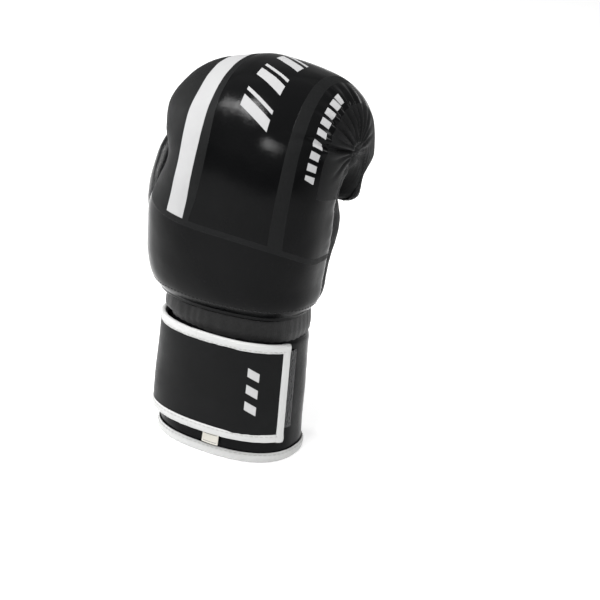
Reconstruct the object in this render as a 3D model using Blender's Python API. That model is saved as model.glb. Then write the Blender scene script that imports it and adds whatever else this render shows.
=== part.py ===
"""Right-hand boxing glove standing on its cuff, as sewn layers: skins, foam pads, linings, cuff, strap and label.

Frame, in metres: +Z runs from the hand opening up to the knuckles, -Y faces the back of the hand, +Y the palm,
-X the thumb and +X the little finger. The origin is the centre of the hand opening, on the surface it stands on.
Layers are named by their depth: a depth of 0 is the outer face, and a positive depth lies further in.
"""

import math

import bpy
import numpy as np
from mathutils import Matrix

GAP = 0.0004  # clearance between layers that are sewn or glued together
SKIN = 0.0014  # synthetic leather with its backing
LINING = 0.0009

# Cuff: a flattened tube, open along a slit on the palm side
CUFF_HEIGHT = 0.092
CUFF_CENTRE_Y = -0.002
CUFF_HALF_WIDTH = {0.0: 0.0540, 0.05: 0.0528, CUFF_HEIGHT: 0.0520}
CUFF_HALF_DEPTH = {0.0: 0.0390, 0.05: 0.0375, CUFF_HEIGHT: 0.0370}
CUFF_SQUARENESS = 2.4
CUFF_FOAM = 0.0055
SLIT_HALF_ANGLE = 12.0  # degrees either side of the palm direction
HEM_HEIGHT = 0.0076
HEM_FLANGE = 0.0018
PALM, THUMB_SIDE, BACK = 90.0, 180.0, 270.0  # directions round the cuff, in degrees

# Strap: it is sewn on beside the slit, crosses it, and goes round the thumb side to the back of the wrist
STRAP_BOTTOM, STRAP_TOP = 0.018, 0.092
STRAP_THICKNESS = 0.0024
BINDING_HEIGHT = 0.0063
BINDING_PROUD = 0.0007
ANCHOR_START, ANCHOR_END = 46.0, 70.0
FOLD_AT, PEEL_AT, STRAP_END = 141.0, 219.0, 336.0
STRAP_LIFT = {ANCHOR_START: 0.0004, 120.0: 0.0016, 200.0: 0.0032, 360.0: 0.0036}
HINGE_GAP = 0.5  # degrees round the cuff, either side of a fold
PATCH_THICKNESS = 0.0011
LOOP_PATCH, HOOK_PATCH = (216.0, 350.0), (284.0, 327.0)  # degrees round the cuff

# Fist: a hand section that rises from the wrist, then a curl that turns about the crease of the palm
WRIST_Z = 0.113
PIVOT_Y, PIVOT_Z = 0.030, 0.192
CREASE = 0.0025
CURL_END = 190  # degrees turned about the crease
FINGERTIP_LENGTH = 0.009
FIST_SQUARENESS = 2.5
SEAM = 105  # degrees from the back of the hand round to the seam with the palm panel
SEAM_GAP, PAD_SEAM_GAP = 0.6, 2.0
BACK_Y = {WRIST_Z: -0.0420, 0.1205: -0.0480, 0.148: -0.0550, 0.172: -0.0580, PIVOT_Z: -0.0590}
PALM_Y = {WRIST_Z: 0.0340, 0.1205: 0.0385, 0.148: 0.0365, 0.172: 0.0315, PIVOT_Z: PIVOT_Y - CREASE}
REACH = {0: 0.0890, 30: 0.0920, 65: 0.0910, 100: 0.0820, 135: 0.0630, 165: 0.0485, 190: 0.0410}
THUMB_WIDTH = {WRIST_Z: 0.0610, 0.1205: 0.0665, 0.135: 0.0700, 0.150: 0.0700, 0.172: 0.0675, PIVOT_Z: 0.0585}
PINKY_WIDTH = {WRIST_Z: 0.0505, 0.1205: 0.0565, 0.135: 0.0600, 0.150: 0.0630, 0.172: 0.0665, PIVOT_Z: 0.0680}
THUMB_CURL_WIDTH = {0: 0.0585, 15: 0.0520, 30: 0.0600, 42: 0.0660, 60: 0.0695, 100: 0.0700, 135: 0.0680, 165: 0.0630, 190: 0.0560}
PINKY_CURL_WIDTH = {0: 0.0680, 30: 0.0690, 65: 0.0680, 100: 0.0660, 135: 0.0635, 165: 0.0605, 190: 0.0560}

# Hand cavity: the same construction, with the foam's thickness between the two
CAVITY_BACK_Y = {WRIST_Z: -0.0250, 0.1205: -0.0260, 0.148: -0.0280, 0.172: -0.0290, PIVOT_Z: -0.0290}
CAVITY_PALM_Y = {WRIST_Z: 0.0275, 0.1205: 0.0290, 0.148: 0.0275, 0.172: 0.0220, PIVOT_Z: 0.0180}
CAVITY_REACH = {0: 0.0590, 30: 0.0605, 65: 0.0580, 100: 0.0520, 135: 0.0400, 168: 0.0300}
CAVITY_CREASE = {0: 0.0120, 30: 0.0165, 65: 0.0185, 100: 0.0175, 135: 0.0155, 168: 0.0130}
CAVITY_THUMB_WIDTH = {WRIST_Z: 0.0420, 0.148: 0.0470, PIVOT_Z: 0.0440}
CAVITY_PINKY_WIDTH = {WRIST_Z: 0.0400, 0.148: 0.0480, PIVOT_Z: 0.0510}
CAVITY_THUMB_CURL_WIDTH = {0: 0.0440, 100: 0.0440, 168: 0.0400}
CAVITY_PINKY_CURL_WIDTH = {0: 0.0510, 100: 0.0510, 168: 0.0440}
CAVITY_END = 168
CAVITY_TIP = 0.007

KNUCKLE_START, KNUCKLE_END = 18, 138  # degrees of the curl, where one foam pad meets the next
PAD_GAP = 0.4
GRIP_ANGLE, GRIP_REACH, GRIP_RADIUS, GRIP_LENGTH = 62.0, 0.0108, 0.0048, 0.050

# The grid that every layer of the fist shares: rows up the hand, round the curl and over its end, and columns
LEG_ROWS = [0.0, 0.05, 0.12, 0.25, 0.45, 0.65, 0.85, 1.0]
CURL_ROWS = [KNUCKLE_START, 38, 58, 78, 98, 118, KNUCKLE_END, 154, 168, 179, 190]
END_ROWS = [2.3, 2.6, 2.8, 3.0]
CAVITY_END_ROWS = [2.15, 2.3, 2.45, 2.6, 2.8, 3.0]
COLUMN = 15
BACK_COLUMNS = list(range(-SEAM, SEAM + 1, COLUMN))
PALM_COLUMNS = list(range(SEAM + COLUMN, 360 - SEAM, COLUMN))
RING_COLUMNS = list(range(-SEAM, 360 - SEAM, COLUMN))

# Thumb: a stuffed tube from the side of the palm up to the finger curl
THUMB_X = {0.0: -0.0480, 0.35: -0.0665, 0.7: -0.0755, 1.0: -0.0735}
THUMB_Y = {0.0: 0.0070, 0.35: 0.0145, 0.7: 0.0300, 1.0: 0.0465}
THUMB_Z = {0.0: 0.1300, 0.35: 0.1560, 0.7: 0.1840, 1.0: 0.2060}
THUMB_RADIUS = {0.0: 0.0215, 0.35: 0.0240, 0.7: 0.0225, 1.0: 0.0190}
THUMB_TIP = 0.016
THUMB_CLEARANCE = 0.0026  # round the root, so that the thumb can turn
THUMB_FOAM = 0.0075
NEST_X = 0.0555  # the side of the fist is flattened to here where the thumb lies against it
NEST_RADIUS, NEST_SLOPE = 0.020, 0.9
NEST_ALONG = (0.6, 0.8, 1.0)
LOCK_Y, LOCK_Z, LOCK_SIZE = 0.040, 0.199, (0.014, 0.010)
FLATTEN_FROM, FLATTEN_TO = 0.25, 0.45  # along the thumb, where its own flat side begins
PASSAGE_X, PASSAGE_Y, PASSAGE_Z, PASSAGE_RADIUS = (-0.015, -0.080), 0.012, 0.141, 0.0110

WRIST_AXIS_Z = 0.100
THUMB_PIVOT = (-0.052, 0.012, 0.134)
LABEL_X, LABEL_WIDTH, LABEL_TOP, LABEL_BOTTOM, LABEL_THICKNESS = 0.007, 0.013, 0.0174, 0.0092, 0.0007
LABEL_INSET = -0.0015  # the label's middle hangs this far outside the cuff

COLOURS = {
    "gloss_black": ((0.012, 0.012, 0.013), 0.18),
    "matt_black": ((0.020, 0.020, 0.020), 0.75),
    "white_binding": ((0.80, 0.80, 0.80), 0.45),
    "foam": ((0.10, 0.10, 0.11), 0.90),
    "lining": ((0.03, 0.03, 0.03), 0.80),
    "hook_and_loop": ((0.02, 0.02, 0.02), 0.95),
    "label_white": ((0.75, 0.74, 0.70), 0.80),
}


def spline(keys, at):
    """The value at `at` of a smooth curve through keys, given as {position: value}."""
    x = np.array(sorted(keys), float)
    y = np.array([keys[k] for k in sorted(keys)], float)
    at = min(max(at, x[0]), x[-1])
    i = int(np.clip(np.searchsorted(x, at) - 1, 0, len(x) - 2))
    slope = np.diff(y) / np.diff(x)
    tangent = np.concatenate([slope[:1], (slope[1:] + slope[:-1]) / 2, slope[-1:]])
    width = x[i + 1] - x[i]
    t = (at - x[i]) / width
    return float(
        y[i] * (1 + 2 * t) * (1 - t) ** 2
        + y[i + 1] * t * t * (3 - 2 * t)
        + width * (tangent[i] * t * (1 - t) ** 2 - tangent[i + 1] * t * t * (1 - t))
    )


def rounded(angle, squareness):
    """Cosine and sine of a superellipse: 2 is an ellipse, and more is squarer."""
    c, s = math.cos(math.radians(angle)), math.sin(math.radians(angle))
    power = 2 / squareness
    return math.copysign(abs(c) ** power, c), math.copysign(abs(s) ** power, s)


def cuff_point(angle, z, depth):
    """A point round the cuff. Angle 0 is the little finger's side, 90 the palm, 180 the thumb, 270 the back."""
    c, s = rounded(angle, CUFF_SQUARENESS)
    x = (spline(CUFF_HALF_WIDTH, z) - depth) * c
    y = (spline(CUFF_HALF_DEPTH, z) - depth) * s
    return x, y + CUFF_CENTRE_Y, z


def thumb_axis(t):
    return np.array([spline(THUMB_X, t), spline(THUMB_Y, t), spline(THUMB_Z, t)])


def nested(point, depth):
    """Keeps a point of the fist clear of the thumb that lies against its side."""
    x, y, z = point
    away = min(math.hypot(*(thumb_axis(t)[1:] - (y, z))) for t in NEST_ALONG)
    limit = NEST_X - depth + NEST_SLOPE * max(away - NEST_RADIUS, 0.0)
    return max(x, -limit), y, z


def section(centre_y, centre_z, turn, half, thumb_width, pinky_width, angle, scale=1.0, advance=0.0):
    """A point of one section of the fist, in a plane turned by `turn` from the horizontal."""
    c, s = rounded(angle, FIST_SQUARENESS)
    out = half * c * scale
    turn = math.radians(turn)
    y = centre_y - math.cos(turn) * out + math.sin(turn) * advance
    z = centre_z + math.sin(turn) * out + math.cos(turn) * advance
    return (pinky_width if s > 0 else thumb_width) * s * scale, y, z


def swept_point(shape, along, angle, depth):
    """A point of the fist's skin or of its cavity.

    along runs 0 to 1 up the hand, 1 to 2 round the curl and 2 to 3 over the rounded end. Angle 0 faces outwards,
    90 the little finger, 180 the palm or the crease, and 270 the thumb.
    """
    low, curl_end = shape["low"], shape["curl_end"]
    if along <= 1:
        z = low + along * (PIVOT_Z - low)
        back, palm = spline(shape["back"], z), spline(shape["palm"], z)
        widths = spline(shape["thumb"], z) - depth, spline(shape["pinky"], z) - depth
        point = section((back + palm) / 2, z, 0.0, (palm - back) / 2 - depth, *widths, angle)
        return nested(point, depth) if shape["nested"] else point
    turn = min(along - 1, 1.0) * curl_end
    far, near = spline(shape["reach"], turn), spline(shape["crease"], turn)
    middle = (far + near) / 2
    centre_y = PIVOT_Y - math.cos(math.radians(turn)) * middle
    centre_z = PIVOT_Z + math.sin(math.radians(turn)) * middle
    widths = spline(shape["thumb_curl"], turn) - depth, spline(shape["pinky_curl"], turn) - depth
    cap = math.radians(90 * max(along - 2, 0.0))
    scale, advance = math.cos(cap) ** 0.8, (shape["tip"] - depth) * math.sin(cap)
    point = section(centre_y, centre_z, turn, (far - near) / 2 - depth, *widths, angle, scale, advance)
    return nested(point, depth) if shape["nested"] else point


OUTSIDE = {
    "low": WRIST_Z, "curl_end": CURL_END, "back": BACK_Y, "palm": PALM_Y, "thumb": THUMB_WIDTH,
    "pinky": PINKY_WIDTH, "reach": REACH, "crease": {0: CREASE, CURL_END: CREASE},
    "thumb_curl": THUMB_CURL_WIDTH, "pinky_curl": PINKY_CURL_WIDTH, "tip": FINGERTIP_LENGTH, "nested": True,
}
CAVITY = {
    "low": WRIST_Z, "curl_end": CAVITY_END, "back": CAVITY_BACK_Y, "palm": CAVITY_PALM_Y,
    "thumb": CAVITY_THUMB_WIDTH, "pinky": CAVITY_PINKY_WIDTH, "reach": CAVITY_REACH,
    "crease": CAVITY_CREASE, "thumb_curl": CAVITY_THUMB_CURL_WIDTH, "pinky_curl": CAVITY_PINKY_CURL_WIDTH,
    "tip": CAVITY_TIP, "nested": False,
}


def thumb_point(along, angle, depth):
    """A point of the thumb: along runs 0 to 1 up the tube and 1 to 2 over its rounded tip."""
    t = min(along, 1.0)
    step = 0.01
    ahead = thumb_axis(min(t + step, 1.0)) - thumb_axis(max(t - step, 0.0))
    ahead /= np.linalg.norm(ahead)
    across = np.cross(ahead, (0.0, 1.0, 0.0))
    across /= np.linalg.norm(across)
    up = np.cross(across, ahead)
    cap = math.radians(90 * max(along - 1, 0.0))
    radius = (spline(THUMB_RADIUS, t) - depth) * math.cos(cap)
    centre = thumb_axis(t) + ahead * (THUMB_TIP - depth) * math.sin(cap)
    turn = math.radians(angle)
    x, y, z = centre + radius * (math.cos(turn) * across + math.sin(turn) * up)
    flat = -NEST_X - THUMB_CLEARANCE - depth
    share = min(max((t - FLATTEN_FROM) / (FLATTEN_TO - FLATTEN_FROM), 0.0), 1.0)
    return x + share * (min(x, flat) - x), y, z


def object_from(name, points, faces, material, smooth=True):
    mesh = bpy.data.meshes.new(name)
    mesh.from_pydata([tuple(map(float, p)) for p in points], [], faces)
    mesh.validate()
    made = bpy.data.objects.new(name, mesh)
    bpy.context.scene.collection.objects.link(made)
    mesh.materials.append(material_of(material))
    if smooth:
        mesh.shade_smooth()
        mesh.set_sharp_from_angle(angle=math.radians(40))
    return made


def material_of(name):
    if name in bpy.data.materials:
        return bpy.data.materials[name]
    colour, roughness = COLOURS[name]
    material = bpy.data.materials.new(name)
    material.use_nodes = True
    shader = material.node_tree.nodes["Principled BSDF"]
    shader.inputs["Base Color"].default_value = (*colour, 1)
    shader.inputs["Roughness"].default_value = roughness
    shader.inputs["Metallic"].default_value = 0.0
    return material


def face_outwards(made):
    """Turns the faces round if they enclose a negative volume."""
    mesh = made.data
    mesh.calc_loop_triangles()
    total = 0.0
    for triangle in mesh.loop_triangles:
        a, b, c = (mesh.vertices[i].co for i in triangle.vertices)
        total += a.dot(b.cross(c))
    if total < 0:
        mesh.flip_normals()
    return made


def layer(name, material, outer, inner, rows, columns, ring=False, closed_end=False, keep=None):
    """A closed solid between two faces, each a function of (row, column).

    ring joins the last column to the first. closed_end brings the last row to one point on each face. keep(i, j)
    leaves cells out, and walls are made wherever a kept cell has no neighbour. Both faces are split into triangles
    the same way, so that layers made on one grid nest without touching.
    """
    n_rows, n_columns = len(rows), len(columns)
    points, faces, index = [], [], {}

    def vertex(side, i, j):
        j = j % n_columns if ring else j
        if closed_end and i == n_rows - 1:
            j = 0
        key = (side, i, j)
        if key not in index:
            index[key] = len(points)
            points.append((outer, inner)[side](rows[i], columns[j]))
        return index[key]

    def add(*corners):
        face = list(dict.fromkeys(vertex(*corner) for corner in corners))
        if len(face) > 2:
            faces.append(face)

    def wall(a, b):
        add((0, *a), (0, *b), (1, *b))
        add((0, *a), (1, *b), (1, *a))

    cells = n_columns if ring else n_columns - 1

    def kept(i, j):
        j = j % cells if ring else j
        return 0 <= i < n_rows - 1 and 0 <= j < cells and (keep is None or keep(i, j))

    for i in range(n_rows - 1):
        for j in range(cells):
            if not kept(i, j):
                continue
            for ends in ([(i, j + 1), (i + 1, j + 1)], [(i + 1, j + 1), (i + 1, j)]):
                add((0, i, j), (0, *ends[0]), (0, *ends[1]))
                add((1, i, j), (1, *ends[1]), (1, *ends[0]))
            if not kept(i - 1, j):
                wall((i, j + 1), (i, j))
            if not kept(i + 1, j) and not (closed_end and i == n_rows - 2):
                wall((i + 1, j), (i + 1, j + 1))
            if not kept(i, j - 1):
                wall((i, j), (i + 1, j))
            if not kept(i, j + 1):
                wall((i + 1, j + 1), (i, j + 1))
    return face_outwards(object_from(name, points, faces, material))


def swept_profile(name, material, profile, angles):
    """A closed solid with one (depth, z) outline, carried round the cuff through these angles, with flat ends."""
    points = [cuff_point(angle, z, depth) for angle in angles for depth, z in profile]
    n = len(profile)
    faces = []
    for i in range(len(angles) - 1):
        for k in range(n):
            a, b = i * n + k, i * n + (k + 1) % n
            faces.append([a, b, b + n, a + n])
    last = (len(angles) - 1) * n
    faces.append(list(range(n))[::-1])
    faces.append([last + k for k in range(n)])
    return face_outwards(object_from(name, points, faces, material))


def cut(target, cutter):
    modifier = target.modifiers.new("cut by " + cutter.name, "BOOLEAN")
    modifier.operation = "DIFFERENCE"
    modifier.solver = "EXACT"
    modifier.object = cutter


def spread(start, end, count):
    return [float(v) for v in np.linspace(start, end, count)]


def cuff_angles(count):
    return spread(PALM + SLIT_HALF_ANGLE, PALM + 360 - SLIT_HALF_ANGLE, count)


def make_cuff():
    heights = spread(HEM_FLANGE + GAP, CUFF_HEIGHT, 4)
    angles = cuff_angles(33)
    depths = {"cuff_shell": (0.0, SKIN, "gloss_black")}
    foam_start = SKIN + GAP
    depths["cuff_foam"] = (foam_start, foam_start + CUFF_FOAM, "foam")
    lining_start = foam_start + CUFF_FOAM + GAP
    depths["cuff_lining"] = (lining_start, lining_start + LINING, "lining")
    for name, (near, far, material) in depths.items():
        layer(
            name, material,
            lambda z, a, near=near: cuff_point(a, z, near),
            lambda z, a, far=far: cuff_point(a, z, far),
            heights, angles,
        )
    edge = 0.0010  # how far the binding stands proud of the cuff
    full = lining_start + LINING
    hem = [
        (-edge, 0.0), (full, 0.0), (full, HEM_FLANGE), (-GAP, HEM_FLANGE), (-GAP, HEM_HEIGHT), (-edge, HEM_HEIGHT),
    ]
    swept_profile("hem_binding", "white_binding", hem, angles)
    gusset_edge = SLIT_HALF_ANGLE - 1.2
    layer(
        "slit_gusset", "matt_black",
        lambda z, a: cuff_point(a, z, 0.0018),
        lambda z, a: cuff_point(a, z, 0.0038),
        spread(0.006, CUFF_HEIGHT - 0.004, 3), spread(PALM - gusset_edge, PALM + gusset_edge, 5),
    )
    layer(
        "loop_patch", "hook_and_loop",
        lambda z, a: cuff_point(a, z, -GAP - PATCH_THICKNESS),
        lambda z, a: cuff_point(a, z, -GAP),
        spread(0.026, 0.084, 3), spread(*LOOP_PATCH, 17),
    )


def make_wrist_sleeve():
    low, high = CUFF_HEIGHT + GAP, WRIST_Z - GAP
    layer(
        "wrist_sleeve", "matt_black",
        lambda z, a: cuff_point(a, z, 0.0022 + 0.0010 * math.sin(math.pi * (z - low) / (high - low))),
        lambda z, a: cuff_point(a, z, 0.0062),
        spread(low, high, 4), spread(0, 360, 33)[:-1], ring=True,
    )


def strap_face(angle, z, height_above):
    return cuff_point(angle, z, -spline(STRAP_LIFT, angle) - height_above)


def strap_piece(name, material, start, end, low, high, inside, outside, columns, keep=None, rows=None):
    """A stretch of the strap, between two heights above the strap's inner face."""
    return layer(
        name, material,
        lambda z, a: strap_face(a, z, outside),
        lambda z, a: strap_face(a, z, inside),
        rows or [low, high], columns or spread(start, end, 9), keep=keep,
    )


def make_strap():
    low, high = STRAP_BOTTOM + BINDING_HEIGHT, STRAP_TOP - BINDING_HEIGHT
    cloth = (0.0, STRAP_THICKNESS)
    binding = (-BINDING_PROUD / 2, STRAP_THICKNESS + BINDING_PROUD)
    strap_piece(
        "strap_anchor", "gloss_black", ANCHOR_START, ANCHOR_END, STRAP_BOTTOM, STRAP_TOP, *cloth,
        spread(ANCHOR_START, ANCHOR_END, 5),
    )
    stretches = {
        "strap_palm": (ANCHOR_END + 2 * HINGE_GAP, FOLD_AT - HINGE_GAP),
        "strap_side": (FOLD_AT + HINGE_GAP, PEEL_AT - HINGE_GAP),
    }
    for name, (start, end) in stretches.items():
        columns = spread(start, end, 9)
        strap_piece(name, "gloss_black", start, end, low + GAP, high - GAP, *cloth, columns)
        strap_piece(name + "_top_binding", "white_binding", start, end, high, STRAP_TOP, *binding, columns)
        strap_piece(name + "_bottom_binding", "white_binding", start, end, STRAP_BOTTOM, low, *binding, columns)
    start = PEEL_AT + HINGE_GAP
    end_band = 7.0  # degrees that the binding takes up across the strap's free end
    columns = spread(start, STRAP_END - end_band, 13)
    strap_piece("strap_tip", "gloss_black", 0, 0, low + GAP, high - GAP, *cloth, columns)
    columns = [*columns, STRAP_END - end_band + 0.5, STRAP_END]
    across = len(columns) - 2
    strap_piece(
        "strap_tip_binding", "white_binding", 0, 0, 0, 0, *binding, columns,
        keep=lambda i, j: i != 1 or j == across, rows=[STRAP_BOTTOM, low, high, STRAP_TOP],
    )
    layer(
        "hook_patch", "hook_and_loop",
        lambda z, a: strap_face(a, z, -GAP),
        lambda z, a: cuff_point(a, z, -2 * GAP - PATCH_THICKNESS),
        spread(0.028, 0.082, 2), spread(*HOOK_PATCH, 7),
    )


def make_label():
    centre = cuff_point(BACK, LABEL_TOP, LABEL_INSET)[1]
    half = LABEL_WIDTH / 2
    rows = [LABEL_BOTTOM, (LABEL_BOTTOM + LABEL_TOP) / 2, LABEL_TOP]
    layer(
        "size_label", "label_white",
        lambda z, x: (x, centre - LABEL_THICKNESS / 2, z),
        lambda z, x: (x, centre + LABEL_THICKNESS / 2, z),
        rows, [LABEL_X - half, LABEL_X, LABEL_X + half],
    )


def fist_grid(curl_degrees, shape):
    return [1 + degrees / shape["curl_end"] for degrees in curl_degrees]


def make_fist_skins():
    def outer(s, a):
        return swept_point(OUTSIDE, s, a, 0.0)

    def inner(s, a):
        return swept_point(OUTSIDE, s, a, SKIN)

    rows = LEG_ROWS + fist_grid(CURL_ROWS, OUTSIDE) + END_ROWS[:2]
    shell = layer("main_shell", "gloss_black", outer, inner, rows, BACK_COLUMNS)
    palm_columns = [SEAM + SEAM_GAP, *PALM_COLUMNS, 360 - SEAM - SEAM_GAP]
    palm = layer("palm_shell", "gloss_black", outer, inner, rows, palm_columns)
    end = [END_ROWS[1] + 0.02, *END_ROWS[2:]]
    layer("fingertip_panel", "gloss_black", outer, inner, end, RING_COLUMNS, ring=True, closed_end=True)
    return shell, palm


def make_pads():
    """Foam between the skin and the hand cavity: back, knuckles, fingers and palm."""

    def outer(s, a):
        return swept_point(OUTSIDE, s, a, SKIN + GAP)

    def cavity(s, a):
        turned = s if s <= 1 else 1 + (s - 1) * CURL_END / CAVITY_END
        return swept_point(CAVITY, turned, a, 0.0)

    first = CURL_ROWS.index(KNUCKLE_START)
    last = CURL_ROWS.index(KNUCKLE_END)
    leg = LEG_ROWS + fist_grid(CURL_ROWS[: first + 1], OUTSIDE)
    back = layer("back_pad", "foam", outer, cavity, leg, BACK_COLUMNS)
    knuckle = fist_grid([KNUCKLE_START + PAD_GAP, *CURL_ROWS[first + 1 : last + 1]], OUTSIDE)
    layer("knuckle_pad", "foam", outer, cavity, knuckle, BACK_COLUMNS)
    palm_columns = [SEAM + PAD_SEAM_GAP, *PALM_COLUMNS, 360 - SEAM - PAD_SEAM_GAP]
    palm = layer("palm_pad", "foam", outer, cavity, LEG_ROWS, palm_columns)

    shared = [KNUCKLE_END + PAD_GAP, *(turn for turn in CURL_ROWS[last + 1 :] if turn <= CAVITY_END)]
    beyond = [turn for turn in CURL_ROWS if turn > CAVITY_END]
    outer_rows = fist_grid(shared + beyond, OUTSIDE) + END_ROWS
    cavity_rows = fist_grid(shared, CAVITY) + CAVITY_END_ROWS
    layer(
        "finger_pad", "foam",
        lambda r, a: swept_point(OUTSIDE, outer_rows[r], a, SKIN + GAP),
        lambda r, a: swept_point(CAVITY, cavity_rows[r], a, 0.0),
        range(len(outer_rows)), RING_COLUMNS, ring=True, closed_end=True,
    )
    return back, palm


def make_hand_lining():
    shared = [turn for turn in CURL_ROWS if turn <= CAVITY_END]
    return layer(
        "hand_lining", "lining",
        lambda s, a: swept_point(CAVITY, s, a, GAP),
        lambda s, a: swept_point(CAVITY, s, a, GAP + LINING),
        LEG_ROWS + fist_grid(shared, CAVITY) + CAVITY_END_ROWS, RING_COLUMNS, ring=True, closed_end=True,
    )


def make_grip_bar():
    turn = math.radians(GRIP_ANGLE)
    centre = (0.0, PIVOT_Y - math.cos(turn) * GRIP_REACH, PIVOT_Z + math.sin(turn) * GRIP_REACH)
    crosswise_bar("grip_bar", centre, GRIP_RADIUS, GRIP_LENGTH, 16, "foam")


def make_thumb_lock():
    """A stitched tab that ties the thumb's flat side to the side of the fist."""
    half_y, half_z = LOCK_SIZE[0] / 2, LOCK_SIZE[1] / 2
    layer(
        "thumb_lock_tab", "matt_black",
        lambda z, y: (-NEST_X - THUMB_CLEARANCE + GAP, y, z),
        lambda z, y: (-NEST_X - GAP, y, z),
        spread(LOCK_Z - half_z, LOCK_Z + half_z, 3), spread(LOCK_Y - half_y, LOCK_Y + half_y, 3),
    )


def solid_within(name, face, rows, columns):
    """A closed solid inside one face: a flat floor under the first row, and the last row brought to a point."""
    n = len(columns)
    points = [face(row, column) for row in rows[:-1] for column in columns] + [face(rows[-1], columns[0])]
    faces = [list(range(n))[::-1]]
    for i in range(len(rows) - 2):
        for k in range(n):
            a, b = i * n + k, i * n + (k + 1) % n
            faces.append([a, b, b + n, a + n])
    last = (len(rows) - 2) * n
    faces += [[last + k, last + (k + 1) % n, len(points) - 1] for k in range(n)]
    made = face_outwards(object_from(name, points, faces, "foam"))
    made.hide_render = True
    made.display_type = "WIRE"
    return made


def crosswise_bar(name, centre, radius, length, sides, material):
    """A round bar that lies along X."""
    bpy.ops.mesh.primitive_cylinder_add(vertices=sides, radius=radius, depth=length)
    bar = bpy.context.object
    bar.name = name
    bar.data.transform(Matrix.Rotation(math.radians(90), 4, "Y"))
    bar.data.materials.append(material_of(material))
    bar.data.shade_smooth()
    bar.data.set_sharp_from_angle(angle=math.radians(40))
    bar.location = centre
    return bar


def make_thumb(pierced):
    """The thumb's layers, cut off where its root meets the fist, and a passage from the hand cavity into it."""
    columns = spread(0, 360, 17)[:-1]
    rows = [0.0, 0.17, 0.34, 0.51, 0.68, 0.84, 1.0, 1.35, 1.7, 2.0]
    fist = solid_within(
        "fist_envelope",
        lambda s, a: swept_point(OUTSIDE, s, a, -THUMB_CLEARANCE),
        LEG_ROWS + fist_grid(CURL_ROWS, OUTSIDE) + END_ROWS, RING_COLUMNS,
    )
    foam_start = SKIN + GAP
    lining_start = foam_start + THUMB_FOAM + GAP
    depths = {
        "thumb_shell": (0.0, SKIN, "gloss_black"),
        "thumb_foam": (foam_start, foam_start + THUMB_FOAM, "foam"),
        "thumb_lining": (lining_start, lining_start + LINING, "lining"),
    }
    for name, (near, far, material) in depths.items():
        made = layer(
            name, material,
            lambda s, a, near=near: thumb_point(s, a, near),
            lambda s, a, far=far: thumb_point(s, a, far),
            rows, columns, ring=True, closed_end=True,
        )
        cut(made, fist)
    inner, outer = PASSAGE_X
    centre = ((inner + outer) / 2, PASSAGE_Y, PASSAGE_Z)
    passage = crosswise_bar("thumb_passage", centre, PASSAGE_RADIUS, inner - outer, 20, "foam")
    passage.hide_render = True
    passage.display_type = "WIRE"
    for skin in pierced:
        cut(skin, passage)


def on_joint(name, position, children, parent=None):
    """An empty on a joint's axis, which carries the pieces that turn with it."""
    empty = bpy.data.objects.new(name, None)
    bpy.context.scene.collection.objects.link(empty)
    empty.empty_display_size = 0.02
    empty.location = position
    if parent:
        empty.parent = parent
        empty.matrix_parent_inverse = Matrix.Translation(parent.matrix_world.translation).inverted()
    bpy.context.view_layer.update()
    for child in children:
        piece = bpy.data.objects[child]
        piece.parent = empty
        piece.matrix_parent_inverse = empty.matrix_world.inverted()
    return empty


def make_joints():
    middle = (STRAP_BOTTOM + STRAP_TOP) / 2
    fist = on_joint(
        "wrist_axis", (0.0, 0.0, WRIST_AXIS_Z),
        ["main_shell", "palm_shell", "fingertip_panel", "back_pad", "knuckle_pad", "palm_pad", "finger_pad",
         "hand_lining", "grip_bar", "thumb_lock_tab"],
    )
    on_joint("thumb_axis", THUMB_PIVOT, ["thumb_shell", "thumb_foam", "thumb_lining"], fist)
    seam = strap_hinge(ANCHOR_END + HINGE_GAP, middle)
    palm = on_joint(
        "strap_seam_axis", seam, ["strap_palm", "strap_palm_top_binding", "strap_palm_bottom_binding"]
    )
    fold = strap_hinge(FOLD_AT, middle)
    side = on_joint(
        "strap_fold_axis", fold, ["strap_side", "strap_side_top_binding", "strap_side_bottom_binding"], palm
    )
    peel = strap_hinge(PEEL_AT, middle)
    on_joint("strap_peel_axis", peel, ["strap_tip", "strap_tip_binding", "hook_patch"], side)
    on_joint("label_axis", (LABEL_X, cuff_point(BACK, LABEL_TOP, LABEL_INSET)[1], LABEL_TOP), ["size_label"])


def strap_hinge(angle, z):
    """A fold's upright axis touches the strap's outer face at its lowest, widest edge, so it opens without pinching."""
    x, y, _ = strap_face(angle, STRAP_BOTTOM, STRAP_THICKNESS + BINDING_PROUD)
    return x, y, z


def main():
    for old in list(bpy.data.objects):
        bpy.data.objects.remove(old)
    make_cuff()
    make_wrist_sleeve()
    make_strap()
    make_label()
    main_shell, palm_shell = make_fist_skins()
    back_pad, palm_pad = make_pads()
    hand_lining = make_hand_lining()
    make_grip_bar()
    make_thumb_lock()
    make_thumb([main_shell, palm_shell, back_pad, palm_pad, hand_lining])
    make_joints()


main()
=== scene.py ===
import math

import bpy
import numpy as np
from mathutils import Matrix, Vector, noise
from mathutils.bvhtree import BVHTree


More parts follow.
